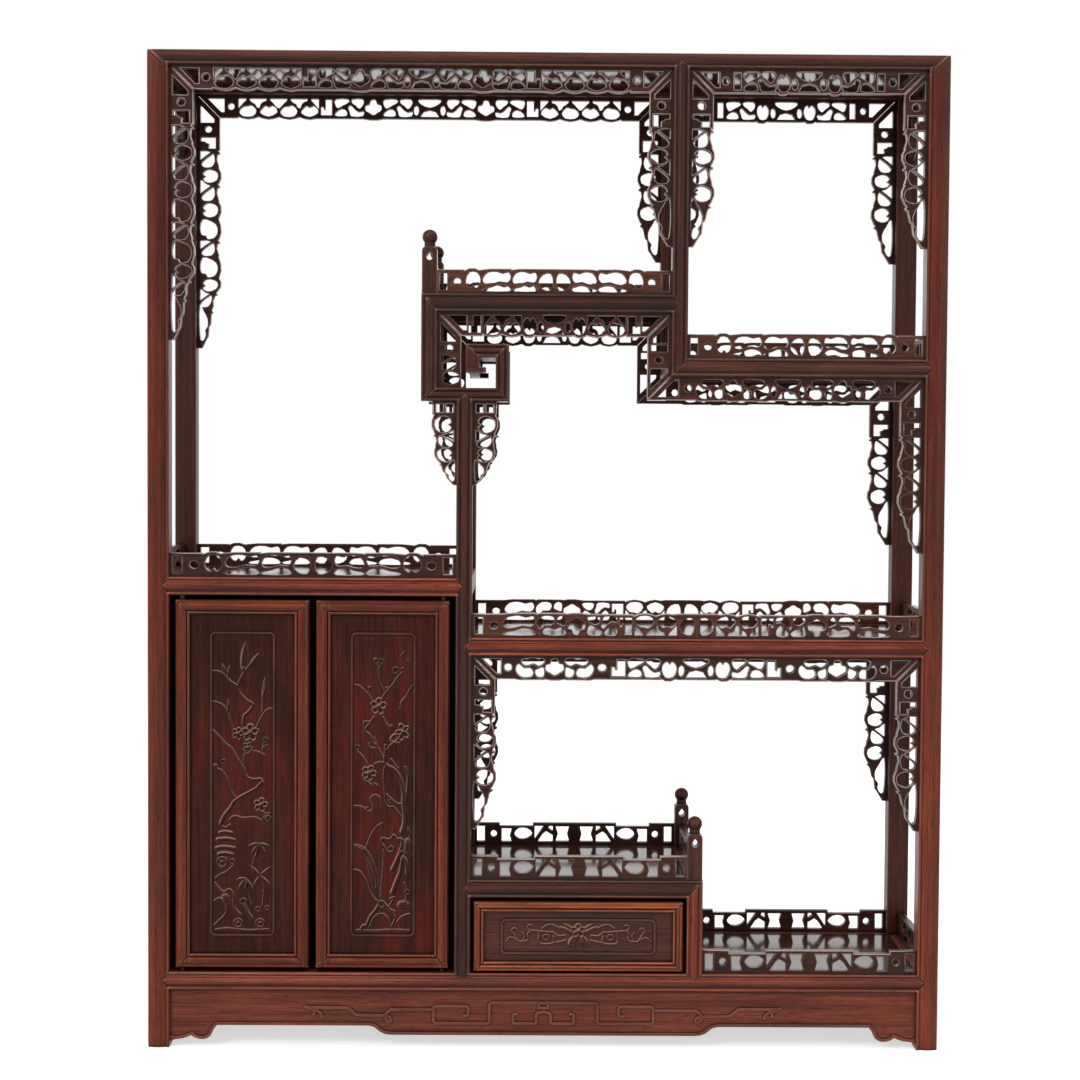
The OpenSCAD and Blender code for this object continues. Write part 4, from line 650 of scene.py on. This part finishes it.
def cabinet_joints():
    """Corners of each line on the front of the cabinet, as pairs of x and z."""
    post_l, post_r = span("post_front_left")[1], span("post_front_right")[0]
    div_l, div_r = span("divider_posts")[:2]
    draw_l, draw_r = span("drawer_posts")[:2]
    up_l, up_r = span("upper_posts")[:2]
    hook_l, hook_r, hook_z = span("hook_frames")[:3]
    w = div_r - div_l

    def levels(name):
        high = span(name)[3]
        return high - w, high

    def point(x, name, way):
        low, high = levels(name)
        return [(x, high), (x + way * POINT_L, (low + high) / 2), (x, low)]

    def foot(x0, x1, z):
        return [(x0, z), ((x0 + x1) / 2, z - POINT_L), (x1, z)]

    left, right, top = cad_bounds[0][0], cad_bounds[1][0], cad_bounds[1][2]
    top_z = top - (post_l - left)
    right_low, right_high = levels("right_shelf_rails")
    draw_low, draw_high = levels("drawer_shelf_rails")
    upper_low, upper_high = levels("upper_shelf_rails")
    base_high = span("base_rails")[3]
    return [
        [(left, top), (post_l, top_z)],
        [(right, top), (post_r, top_z)],
        point(post_l, "left_shelf_rails", -1),
        point(div_l, "left_shelf_rails", 1),
        point(div_r, "middle_shelf_rails", -1),
        point(post_r, "middle_shelf_rails", 1),
        point(post_r, "right_shelf_rails", 1),
        point(div_r, "drawer_shelf_rails", -1),
        point(up_l, "upper_shelf_rails", 1),
        point(post_l, "base_rails", -1),
        point(post_r, "base_rails", 1),
        [(up_l, right_low), (up_r, right_high)],
        [(draw_r, draw_high), (draw_l, draw_low)],
        [(hook_l, upper_high), (hook_l + w, upper_low)],
        [(hook_l, hook_z), (hook_l + w, hook_z + w)],
        [(hook_r, hook_z), (hook_r - w, hook_z + w)],
        foot(div_l, div_r, base_high),
        foot(draw_l, draw_r, base_high),
    ]


def lay_line(tree, path, verts, faces):
    """A thin dark strip along the path that lies on whatever is in front."""
    start_y = cad_bounds[0][1] - GLUE_START
    for (x0, z0), (x1, z1) in zip(path, path[1:]):
        length = math.hypot(x1 - x0, z1 - z0)
        ux, uz = (x1 - x0) / length, (z1 - z0) / length
        count = round(length / GLUE_STEP)
        first = len(verts)
        for i in range(1, count):
            t = i / count * length
            row = []
            for side in (-GLUE_W / 2, GLUE_W / 2):
                x, z = x0 + ux * t - uz * side, z0 + uz * t + ux * side
                hit = tree.ray_cast((x, start_y, z), (0, 1, 0), GLUE_REACH)[0]
                if hit is not None:
                    row += [(x, hit.y - GLUE_UP, z), (x, hit.y + GLUE_DEEP, z)]
            if len(row) == 4:
                verts += row
        rows = (len(verts) - first) // 4
        for i in range(rows - 1):
            a, b = first + 4 * i, first + 4 * (i + 1)
            for j, k in ((0, 2), (2, 3), (3, 1), (1, 0)):
                faces.append((a + j, b + j, b + k, a + k))
        if rows > 1:
            last = first + 4 * (rows - 1)
            faces += [(first, first + 2, first + 3, first + 1), (last, last + 1, last + 3, last + 2)]


def make_joint_lines():
    """One piece of lines for the cabinet, each door and the drawer."""
    mat = rosewood("glue_line", seed=2.2, rough=0.6, edge=0.0, **GLUE)
    rows = [("cabinet", MEMBERS, cabinet_joints())]
    for body, rim, w, pins in (("door_left", "door_left_frame", DOOR_FRAME_W, PIN_REACH),
                               ("door_right", "door_right_frame", DOOR_FRAME_W, PIN_REACH),
                               ("drawer", "drawer_front_frame", DRAWER_FRAME_W, NO_PINS)):
        left, right, low, high = span(rim)
        rows.append((body, (rim,), frame_mitres(left, right, low + pins[0], high - pins[1], w)))
    for body, starts, paths in rows:
        tree = tree_of(*starts)
        verts, faces = [], []
        for path in paths:
            lay_line(tree, path, verts, faces)
        new_piece("joint_lines_" + body, verts, faces, mat, body)


# Low reliefs on the doors and the drawer

class Relief:
    """A carving drawn on a sheet in millimetres, x to the right and d down from its upper left corner."""

    CELL = 0.35
    SUNK = -0.25      # level of the sheet where nothing is carved
    BEHIND = 0.6      # how far the back of a carving lies in the panel
    LIP_W = 0.9       # width of the painted highlight on the lip of a broad stroke
    LIP_FROM = 0.3    # how far out on a shape its painted highlight begins
    LIP_OVER = 0.4    # how much further out it is highlighted in full
    STRENGTH = 1.7    # how much higher the carving stands than it is drawn
    STEEP = 2.2       # how steeply a back falls at its edge
    ROUND = 0.25      # how much lower than its middle a back is there
    DISH = 0.4        # level of the middle of a petal, as a share of its rim's
    DISH_FROM = 0.25  # how far out on a petal it begins to rise
    DISH_OVER = 0.5   # how much further out it has risen
    PETAL_STEEP = 5   # how steeply a petal falls at its edge
    VEIN_DEEP = 0.35  # depth of the cut down a leaf
    VEIN_W = 0.3      # half the width of that cut
    LEAF_POWER = 0.8  # below 1, leaves are full near their ends
    THINNEST = 0.05   # least half width of a leaf that is reckoned with
    TURN_STEPS = 5    # straight pieces of a twig from one of its points to the next

    def __init__(self, width, height):
        self.width, self.height = width, height
        self.nx, self.nd = round(width / self.CELL) + 1, round(height / self.CELL) + 1
        self.x, self.d = np.meshgrid(np.linspace(0, width, self.nx), np.linspace(0, height, self.nd))
        self.h = np.full(self.x.shape, self.SUNK)
        self.lip = np.zeros(self.x.shape)

    def lay(self, h, reach, highlight_share=1.0):
        """Raises the sheet to h; reach is 1 at the edge of the shape, where its lip gets a painted
        highlight.
        """
        higher = h > self.h
        self.h[higher] = h[higher]
        self.lip[higher] = highlight_share * np.clip((reach - self.LIP_FROM) / self.LIP_OVER, 0, 1)[higher]

    def crown(self, rise, reach):
        """A round back that falls steeply at its edge."""
        steep = np.minimum(1, self.STEEP * (1 - reach ** 2))
        return rise * steep * (1 - self.ROUND * np.minimum(reach, 1) ** 2)

    def stroke(self, points, w0, w1, rise=0.7):
        """A twig through the points, w0 wide at its start and w1 at its end, with a round back."""
        line = curve_through(points, self.TURN_STEPS)
        last = len(line) - 1
        for i in range(last):
            (x0, d0), (x1, d1) = line[i], line[i + 1]
            dx, dd = x1 - x0, d1 - d0
            t = ((self.x - x0) * dx + (self.d - d0) * dd) / max(dx * dx + dd * dd, 1e-9)
            t = np.clip(t, 0, 1)
            far = np.hypot(self.x - x0 - t * dx, self.d - d0 - t * dd)
            r = (w0 + (w1 - w0) * (i + t) / last) / 2
            self.lay(self.crown(rise, far / r), 1 - np.minimum((r - far) / r, (r - far) / self.LIP_W))

    def ball(self, x, d, rx, rd=None, rise=0.8, turn=0.0):
        """A round or oval boss."""
        reach = self.reach(x, d, rx, rd or rx, turn)
        self.lay(self.crown(rise, reach), reach, highlight_share=0.6)

    def ring(self, x, d, r, w=1.0, rise=0.6):
        """A ring that is w wide."""
        reach = np.abs(np.hypot(self.x - x, self.d - d) - r) / (w / 2)
        self.lay(self.crown(rise, reach), reach)

    def reach(self, x, d, rx, rd, turn):
        """0 in the middle of an oval and 1 on its outline."""
        c, s = math.cos(turn), math.sin(turn)
        u = (self.x - x) * c + (self.d - d) * s
        v = (self.d - d) * c - (self.x - x) * s
        return np.hypot(u / rx, v / rd)

    def petal(self, x, d, rx, rd, turn, rise=0.9):
        """A dished oval with a rolled rim."""
        reach = self.reach(x, d, rx, rd, turn)
        risen = np.clip((reach - self.DISH_FROM) / self.DISH_OVER, 0, 1) ** 2
        dish = self.DISH + (1 - self.DISH) * risen
        self.lay(rise * np.minimum(dish, self.PETAL_STEEP * (1 - reach)), reach)

    def blossom(self, x, d, r, turn=0.0, squeeze=1.0):
        """Five petals and ten stamens round a boss; squeeze narrows it."""
        def round_it(count, out):
            for i in range(count):
                a = turn + math.tau * i / count
                yield x + out * r * math.sin(a) * squeeze, d - out * r * math.cos(a), a

        for px, pd, a in round_it(5, 0.56):
            self.petal(px, pd, 0.42 * r * squeeze, 0.46 * r, a)
        self.ball(x, d, 0.24 * r * squeeze, 0.24 * r, 1.2)
        for px, pd, a in round_it(10, 0.36):
            self.ball(px, pd, 0.35, rise=1.05)

    def leaf(self, x0, d0, x1, d1, w, rise=0.8):
        """A pointed leaf from x0, d0 to its tip, with a cut down its middle."""
        length = math.hypot(x1 - x0, d1 - d0)
        ux, ud = (x1 - x0) / length, (d1 - d0) / length
        s = ((self.x - x0) * ux + (self.d - d0) * ud) / length
        t = np.abs((self.d - d0) * ux - (self.x - x0) * ud)
        half = w / 2 * np.sin(np.pi * np.clip(s, 0.001, 0.999)) ** self.LEAF_POWER
        reach = t / np.maximum(half, self.THINNEST)
        cut = self.VEIN_DEEP * np.clip(1 - t / self.VEIN_W, 0, 1)
        inside = (s > 0) & (s < 1)
        self.lay(np.where(inside, self.crown(rise, reach) - cut, self.SUNK), reach)

    def piece(self, name, left, right, top, bottom, face_y, mat, body):
        """The raised parts as one mesh on a panel's face."""
        xs = left + self.x / self.width * (right - left)
        zs = top - self.d / self.height * (top - bottom)
        ys = face_y - self.STRENGTH * self.h / 1000
        verts = np.stack([xs, ys, zs], axis=-1).reshape(-1, 3)
        index = np.arange(self.nx * self.nd).reshape(self.nd, self.nx)
        corners = (index[:-1, :-1], index[1:, :-1], index[1:, 1:], index[:-1, 1:])
        quads = np.stack(corners, axis=-1).reshape(-1, 4)
        quads = quads[self.h.reshape(-1)[quads].max(axis=1) > 0]
        used, quads = np.unique(quads, return_inverse=True)
        front = quads.reshape(-1, 4)
        count = len(used)
        behind = verts[used]
        behind[:, 1] = face_y + self.BEHIND / 1000
        sides = np.concatenate([front[:, (i, (i + 1) % 4)] for i in range(4)])
        keys = set(map(tuple, sides.tolist()))
        rim = [(b, a, a + count, b + count) for a, b in keys if (b, a) not in keys]
        faces = front.tolist() + (front[:, ::-1] + count).tolist() + sorted(rim)
        verts = np.concatenate([verts[used], behind])
        piece = new_piece(name, verts.tolist(), faces, mat, body)
        lip = piece.data.attributes.new("lip", "FLOAT", "POINT")
        lip.data.foreach_set("value", np.concatenate([self.lip.reshape(-1)[used], np.zeros(count)]))


def curve_through(points, steps):
    """Points on a smooth line through the given ones."""
    line = []
    for i in range(len(points) - 1):
        a, b = points[max(i - 1, 0)], points[i]
        c, d = points[i + 1], points[min(i + 2, len(points) - 1)]
        for j in range(steps):
            t = j / steps
            line.append(tuple(0.5 * (2 * b[k] + (c[k] - a[k]) * t
                                     + (2 * a[k] - 5 * b[k] + 4 * c[k] - d[k]) * t * t
                                     + (3 * b[k] - a[k] - 3 * c[k] + d[k]) * t ** 3) for k in (0, 1)))
    line.append(tuple(points[-1]))
    return line


def draw_all(draw, rows):
    """One shape for each row of values."""
    for row in rows:
        draw(*row)


# Twigs and other strokes: their points, width at the start and at the end, and height
LEFT_TWIGS = [
    ([(2, 30.5), (7, 31), (12, 34), (16, 38.5), (21, 42), (23, 46.5), (26, 50.5), (30, 54), (34, 57),
      (31, 62), (27, 66), (26.5, 72)], 1.3, 2.6),
    ([(22, 43), (23.5, 38), (26, 33), (30, 27.5), (34.5, 22), (38.5, 17)], 1.9, 0.9),
    ([(43.5, 36), (44, 43), (41.5, 50), (42, 56), (41.5, 62)], 0.9, 1.4),
    ([(49.5, 59.5), (45, 61), (41.5, 65.5), (39, 70.5), (37, 75)], 1.1, 1.8),
    ([(2.5, 54.5), (7, 55.5), (11.5, 58.5), (14.5, 64.5), (16.5, 71), (18, 76)], 1.1, 1.6),
    ([(41.5, 92), (43, 89.5), (46, 88)], 1.2, 0.8),
    ([(42, 91), (42.5, 86)], 1, 0.8),
    ([(2.5, 77), (7, 81.5), (12, 87), (17, 91), (20, 96), (24, 102.5), (27, 108.5), (30, 114),
      (36, 115.5), (40, 115), (42.5, 118.5)], 1.2, 2.3),
    ([(28, 109), (26.4, 102.5), (27.5, 96), (32, 93.3), (37.5, 93.3), (43.5, 96)], 1.3, 0.8, 0.55),
    ([(5, 106.5), (9.5, 108.5), (12.4, 112.5), (15, 118), (16.5, 124), (19.5, 129.5)], 1, 1.8),
    ([(10.3, 103), (10.5, 106), (9.7, 108.5)], 0.8, 1),
    ([(41, 117.5), (37, 122), (32, 125), (25.5, 128.5), (19.5, 132.5), (16, 138), (11.5, 143.5),
      (8.5, 150)], 2, 3.4, 0.8),
    ([(15.5, 147), (19.5, 144.2), (26.5, 145.5), (35, 144.8), (41, 147)], 1.5, 0.9),
    ([(8, 151), (12, 153.5), (16, 151)], 2.2, 1.6),
    ([(18.5, 183), (13, 188), (8.5, 190), (4.5, 193)], 1.3, 1.6),
    ([(39, 165.5), (36, 175), (34, 182), (35, 190)], 1, 0.9),
    ([(41, 191), (43, 199.5), (41.5, 216)], 1, 1.1),
    ([(28.5, 193), (30, 203), (33, 214)], 0.9, 1),
    ([(4, 197), (6, 200), (10.5, 204), (15.5, 202), (18.5, 207), (19.5, 216), (24, 222)], 1.5, 2.4),
    ([(3, 211), (8, 209), (12, 215), (12.5, 221), (8, 226), (3.5, 230)], 1.4, 2),
    ([(28, 215), (30, 220), (33, 224.5)], 2.2, 3, 0.6),
    ([(4, 233.5), (14, 232.5), (30, 233.8), (47, 233)], 1, 1, 0.4),
]


def left_door_relief():
    """Plum branches over a rock, with bamboo at its foot."""
    r = Relief(51.5, 238.4)
    draw_all(r.stroke, LEFT_TWIGS)
    draw_all(r.leaf, [
        (25.5, 33, 28, 8, 5.5, 0.55), (31, 27, 39, 16.5, 3.2), (12.5, 34, 9.5, 24.5, 2.2),
        (14, 36, 15.5, 26, 2.4), (41.5, 60, 43.5, 35, 2.6, 0.55), (14.5, 63, 14.5, 52.5, 2.2),
    ])
    draw_all(r.ball, [
        (26.5, 29, 1.9, 2.3), (44.5, 84.5, 0.9), (4.2, 105, 1.7, 2.2, 0.8, -0.6), (9.5, 180.5, 1.6),
        (12, 209, 3.2, 4, 0.5),
    ])
    draw_all(r.ring, [
        (44.5, 84.5, 2, 1, 0.8), (10.3, 101.5, 1.5, 0.9, 0.8), (9.5, 180.5, 3.8, 1.4, 0.7),
        (17.6, 180, 1.7, 1.1, 0.8), (26.5, 211.5, 2.3, 1.2, 0.8), (38.5, 217.5, 1.7, 1.1),
        (45.5, 216.5, 1.6, 1.1),
    ])
    draw_all(r.blossom, [
        (22, 79.5, 5.2, 0.3), (32, 79, 7.4), (30, 90.5, 4.8, 0.5, 0.8), (40.5, 135.5, 6, 0.2),
        (45.8, 144.5, 3.8, 0.6, 0.85),
    ])
    for d, x0, x1 in ((157.6, 8, 16.8), (163, 6, 18.8), (169.5, 5.5, 18.8), (174.5, 7, 17)):
        r.stroke([(x0, d), ((x0 + x1) / 2, d - 0.7), (x1, d + 0.3)], 3.4, 3.4, 0.6)
    bamboo = [(39, 165.5, [(32.5, 175), (36.5, 177.5), (45, 175), (30, 168), (47.5, 168)]),
              (40, 191, [(31.5, 183), (48.8, 184), (48.5, 199), (35, 199)]),
              (28.5, 193, [(22.5, 202), (35, 204), (20.8, 194.5), (29, 205)])]
    for x, d, tips in bamboo:
        for tx, td in tips:
            r.leaf(x, d, tx, td, 2.7)
    for x in (22.3, 40):
        r.ring(x, 228.5, 3.2, 1.3, 0.6)
        r.ball(x, 228.5, 1.7, rise=0.6)
    return r


RIGHT_TWIGS = [
    ([(3, 41), (6.5, 41.3), (9.5, 43.4), (13, 46.7), (16, 50), (18.3, 54)], 1.2, 1.7),
    ([(15.5, 44), (14.3, 47)], 0.8, 0.9),
    ([(28.5, 46), (25.2, 39), (24, 32.2), (23.5, 26.5), (21, 22.5)], 1.3, 1),
    ([(25.3, 24), (24.2, 28)], 0.8, 0.8),
    ([(26, 53), (28, 49), (31, 45.5), (36, 39.6), (38.5, 35.5), (43.5, 30.3)], 2, 0.9),
    ([(31, 45.2), (29.5, 43), (33, 42.5)], 0.9, 0.9),
    ([(51.8, 41), (47.5, 48), (44.2, 55.3), (41, 59)], 0.8, 1.3),
    ([(19.5, 66), (17, 70), (13.6, 74), (12.3, 77), (16, 80.3), (18.7, 85.3), (22.7, 90.3),
      (25.5, 95), (28.5, 100)], 1.7, 3),
    ([(17, 69.5), (11.2, 70), (12, 76)], 1.3, 1.2),
    ([(15.3, 86.5), (17, 90), (21, 90.5), (24, 94)], 1.2, 1.6),
    ([(20, 82), (22.5, 88)], 1, 1.4),
    ([(27.5, 66), (30, 70.5), (33, 73.5), (34.5, 72.5)], 1.1, 1.7),
    ([(30.2, 92), (33.5, 88), (37, 86.2), (41, 86)], 1.7, 1.2),
    ([(6.3, 93), (10.3, 96.8), (14.2, 103)], 0.9, 1.2),
    ([(20, 103), (24, 101.5), (28, 101.5)], 1.2, 1.6),
    ([(29.3, 88), (29, 95), (28.9, 101.5), (31, 104), (36, 106.5), (40, 111), (43, 117.5), (45, 125),
      (45, 134), (46, 142), (45.8, 150), (44, 156)], 2, 5.2, 0.8),
    ([(34.3, 99), (38.5, 104), (40.5, 106)], 1.5, 1),
    ([(46.5, 105), (48.6, 112), (48, 122), (47.5, 132)], 1.6, 3),
    ([(29, 104), (27.8, 112), (28.9, 126), (29.3, 132.4), (32.6, 136.3), (36, 136), (39.2, 139),
      (42.8, 144)], 1.2, 1.5),
    ([(30.5, 126.6), (34.3, 130), (39.2, 133.6), (43.4, 134)], 1.4, 1.4),
    ([(3.3, 135.7), (9.5, 136.3), (13.6, 139), (17, 139.8), (18.8, 136.5), (17, 132.4), (17.5, 128.4),
      (21.9, 127), (25.2, 130), (26, 134)], 1.1, 1.1, 0.55),
    ([(27.3, 149), (22.7, 151.4), (18.6, 156.3), (15.3, 163), (13.2, 168.7)], 0.8, 1.3, 0.55),
    ([(3.3, 166.6), (8.7, 167.4), (13.2, 170.4), (17, 175.5), (20.4, 183), (23, 191), (24.4, 198)],
      1.5, 1.2),
    ([(3.3, 186), (7.8, 187), (12.4, 192.7), (15.3, 200), (18.6, 206), (22.7, 211)], 1.3, 1.6),
    ([(16.5, 176), (21, 190), (22, 204)], 0.8, 0.8, 0.5),
    ([(28, 170), (27.5, 185), (26, 200), (25.5, 209)], 0.9, 1.1, 0.5),
    ([(28, 167), (26.2, 163.8), (27, 161), (31, 161.8), (34.5, 161.3), (36.8, 158.6), (39.5, 161.5),
      (43.4, 162), (43.3, 167), (41.5, 171)], 1.5, 2.2, 0.8),
    ([(28, 166.5), (31, 170.5), (34.5, 172), (36.8, 169.5), (34.5, 167.2), (32.5, 168.6)], 1.5, 1.2,
      0.85),
    ([(42.3, 172), (39.3, 178.6), (36, 185.5)], 3.8, 4.4, 0.9),
    ([(44, 177), (42.5, 187), (39.2, 195.5), (36, 204)], 3.2, 5, 0.9),
    ([(44.5, 175.5), (47.3, 180), (48.5, 189)], 2.4, 4.6, 0.8),
    ([(46, 196), (47.5, 203), (46.5, 212)], 1.2, 1.2, 0.5),
    ([(34, 209), (37, 207.5), (35, 212), (33, 216), (38, 219)], 2, 1.4),
    ([(9.3, 232.5), (11, 230), (13.8, 229.6), (16.8, 223.2), (21, 218.5), (24, 214)], 2, 2.8, 0.8),
    ([(29.3, 213), (33, 216.5), (36.5, 221), (38, 225), (35, 230.5)], 2.6, 1.6, 0.8),
    ([(16.1, 231), (20.2, 223.5), (26, 220.5), (31, 223), (34, 229.5)], 1.3, 1.3, 0.7),
    ([(39.2, 227.5), (44.2, 222.6), (50.2, 220.8)], 1.4, 1.6, 0.6),
    ([(5, 233.5), (20, 233.8), (35, 233), (50, 233.6)], 0.9, 0.9, 0.4),
]


def right_door_relief():
    """A plum tree that rises from pierced rocks, with clouds and long leaves."""
    r = Relief(54.5, 238.4)
    draw_all(r.stroke, RIGHT_TWIGS)
    draw_all(r.leaf, [
        (42, 19, 45.5, 14, 1.8), (47, 49, 41, 57.5, 2.6), (9.5, 114.6, 21, 121, 2.6),
        (18, 117, 25, 121, 2), (3.5, 167.5, 13, 171, 2.4), (13.6, 176, 22, 205, 3.4, 0.6),
    ])
    draw_all(r.ball, [
        (15.9, 43.2, 1.5), (20.7, 21, 1.8, 1.5), (43.6, 28.2, 1.4), (48.3, 21.5, 0.9), (13.8, 137.6, 1.1),
        (46, 156, 4, 5, 0.45), (48.5, 168, 3.4, 8, 0.4), (45, 214, 5.5, 4, 0.35),
    ])
    draw_all(r.ring, [
        (25.8, 22.5, 1.7, 1, 0.8), (37.8, 29.3, 2.3, 1, 0.75), (5.6, 90, 1.9, 1.1, 0.8),
        (33, 132.4, 1.4, 0.9, 0.6), (48.2, 203.5, 1.7, 1), (26.5, 213.2, 2.6, 1.5, 0.9),
    ])
    r.petal(37, 82.5, 3.3, 4.6, 0.9, 0.7)
    draw_all(r.blossom, [
        (23.5, 57.8, 7.2, 0.1), (44, 77.8, 7.4, 0.9, 0.78), (15.7, 110, 6.6, 0.4),
    ])
    return r


# The left half of the drawer's carving; the right half mirrors it
DRAWER_TWIGS = [
    ([(4, 18.5), (6.3, 15.4), (9.5, 15), (13, 17.6), (17.5, 18), (21.3, 16.6), (20.8, 12.6),
      (23.5, 9.6), (28, 9.8)], 1, 1.4),
    ([(13, 17.2), (10.5, 13), (8.5, 9.6), (10.5, 7.2), (12.5, 8.6)], 1.2, 0.9),
    ([(23.5, 9.6), (20.6, 7.4), (22, 4.9), (24.5, 5.4)], 1.1, 0.9),
    ([(17, 17.8), (18.5, 13.5), (16.5, 10.8)], 1, 0.8),
    ([(28, 9.8), (41, 10.8)], 1.4, 1.4),
    ([(30, 11), (30, 19.4), (40.8, 19.4), (40.8, 14)], 1.5, 1.5),
    ([(40.8, 19.2), (46, 18.2), (50.5, 17.2)], 1.2, 1.6),
    ([(41, 11), (45, 13.6), (50, 13.2)], 1.2, 1.6),
    ([(32, 7.4), (37, 4.6), (42, 5.4), (46, 8.2)], 1, 1.3),
]
DRAWER_LEAVES = [(57, 12, 44.5, 6, 4.2), (57.5, 13, 52.5, 22.5, 4.6), (58.5, 12.5, 57, 23.5, 2.4),
                 (57, 9, 48, 3.6, 3)]


def drawer_relief():
    """A blossom with two sprays between square hooks, and vines at the ends."""
    w = 120.5
    r = Relief(w, 28.2)
    for place in (lambda x: x, lambda x: w - x):
        for points, w0, w1 in DRAWER_TWIGS:
            r.stroke([(place(x), d) for x, d in points], w0, w1)
        r.ring(place(35.2), 14.8, 2.2, 1.3, 0.8)
        for x0, d0, x1, d1, wide in DRAWER_LEAVES:
            r.leaf(place(x0), d0, place(x1), d1, wide)
    r.blossom(w / 2, 9.6, 6.2)
    return r


# From the outside of a door's or the drawer's frame to its carving: at the sides, and at top and bottom
DOOR_IN = DOOR_FRAME_W + mm(15), DOOR_FRAME_W + mm(13.5)
DRAWER_IN = DRAWER_FRAME_W + mm(13), DRAWER_FRAME_W + mm(5.5)
BORDER_RISE = mm(1.1)    # how far the raised border stands over the ground of a panel


def make_reliefs():
    """The carving of the two doors and the drawer, each on the ground of its panel."""
    door_wood = rosewood("relief_wood", grain="z", seed=7.7, edge=0.0, **CARVED)
    drawer_wood = rosewood("drawer_relief_wood", seed=8.8, edge=0.0, **CARVED_DRAWER)
    rows = [
        ("door_left", "door_left_panel", "door_left_frame", left_door_relief, DOOR_IN, PIN_REACH),
        ("door_right", "door_right_panel", "door_right_frame", right_door_relief, DOOR_IN, PIN_REACH),
        ("drawer", "drawer_front_panel", "drawer_front_frame", drawer_relief, DRAWER_IN, NO_PINS),
    ]
    for body, panel, rim, draw, (side, end), pins in rows:
        low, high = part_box(rim)
        face_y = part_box(panel)[0][1] + BORDER_RISE
        draw().piece(body + "_relief", low[0] + side, high[0] - side, high[2] - pins[1] - end,
                     low[2] + pins[0] + end, face_y, drawer_wood if body == "drawer" else door_wood, body)


# Lights and floor

WORLD_LIGHT = 0.42
FLOOR_GLOW = 0.62
FLOOR_HALF = 8.0       # half the width of the floor, in metres
FLOOR_CLOUDS = 6.0     # scale of the faint clouds on the floor
FLOOR_TONES = [(0.3, srgb(238, 238, 238)), (0.7, srgb(243, 243, 243))]
FLOOR_ROUGHNESS, FLOOR_GLOSS = 0.9, 0.1
WHITE = (1, 1, 1, 1)
# Name, place, width, height and watts of each lamp; all are aimed near the cabinet's middle
LAMPS = [
    ("key", (-1.5, -1.9, 1.7), 1.3, 1.0, 25),
    ("fill", (1.7, -1.9, 1.0), 1.2, 1.4, 10),
    ("top", (0.1, -0.2, 2.2), 1.4, 1.4, 9),
    ("back", (0.3, 1.9, 1.4), 1.6, 1.6, 12),
]
LAMP_TARGET = Vector((0, 0, 0.4))


def add_lamp(name, place, width, height, power):
    data = bpy.data.lights.new(name, "AREA")
    data.shape = "RECTANGLE"
    data.size = width
    data.size_y = height
    data.energy = power
    lamp = in_scene(name, data)
    lamp.location = place
    lamp.rotation_euler = (LAMP_TARGET - Vector(place)).to_track_quat("-Z", "Y").to_euler()


def seen_white(n):
    """1 for rays from the camera, and for rays off gloss or through glass."""
    path = n.add("ShaderNodeLightPath").outputs
    return n.math("MAXIMUM", n.math("MAXIMUM", path["Is Camera Ray"], path["Is Glossy Ray"]),
                  path["Is Transmission Ray"])


def make_world():
    """A white background, and a weaker light from all sides."""
    world = bpy.data.worlds.new("studio")
    bpy.context.scene.world = world
    n = Nodes(world)
    n.tree.nodes.clear()
    light, white = [n.add("ShaderNodeBackground", {"Color": WHITE, "Strength": strength}).outputs[0]
                    for strength in (WORLD_LIGHT, 1.0)]
    mix = n.add("ShaderNodeMixShader", {0: seen_white(n), 1: light, 2: white})
    n.add("ShaderNodeOutputWorld", {0: mix.outputs[0]})


def make_floor():
    """A wide white floor under the cabinet."""
    w = FLOOR_HALF
    mesh = bpy.data.meshes.new("floor")
    mesh.from_pydata([(-w, -w, 0), (w, -w, 0), (w, w, 0), (-w, w, 0)], [], [(0, 1, 2, 3)])
    floor = in_scene("floor", mesh)
    n = Nodes(bpy.data.materials.new("floor_white"))
    clouds = n.noise(n.add("ShaderNodeTexCoord").outputs["Object"], FLOOR_CLOUDS)
    n.shade({"Base Color": n.ramp(clouds, FLOOR_TONES), "Roughness": FLOOR_ROUGHNESS,
             "Specular IOR Level": FLOOR_GLOSS, "Emission Color": WHITE,
             "Emission Strength": n.math("MULTIPLY", seen_white(n), FLOOR_GLOW)})
    mesh.materials.append(n.owner)


def make_studio():
    """World, floor and lamps, with plain display colours."""
    bpy.context.scene.view_settings.view_transform = "Standard"
    make_world()
    make_floor()
    for lamp in LAMPS:
        add_lamp(*lamp)


make_camera()
make_studio()
dress_nodes()
make_rims()
make_joint_lines()
make_reliefs()
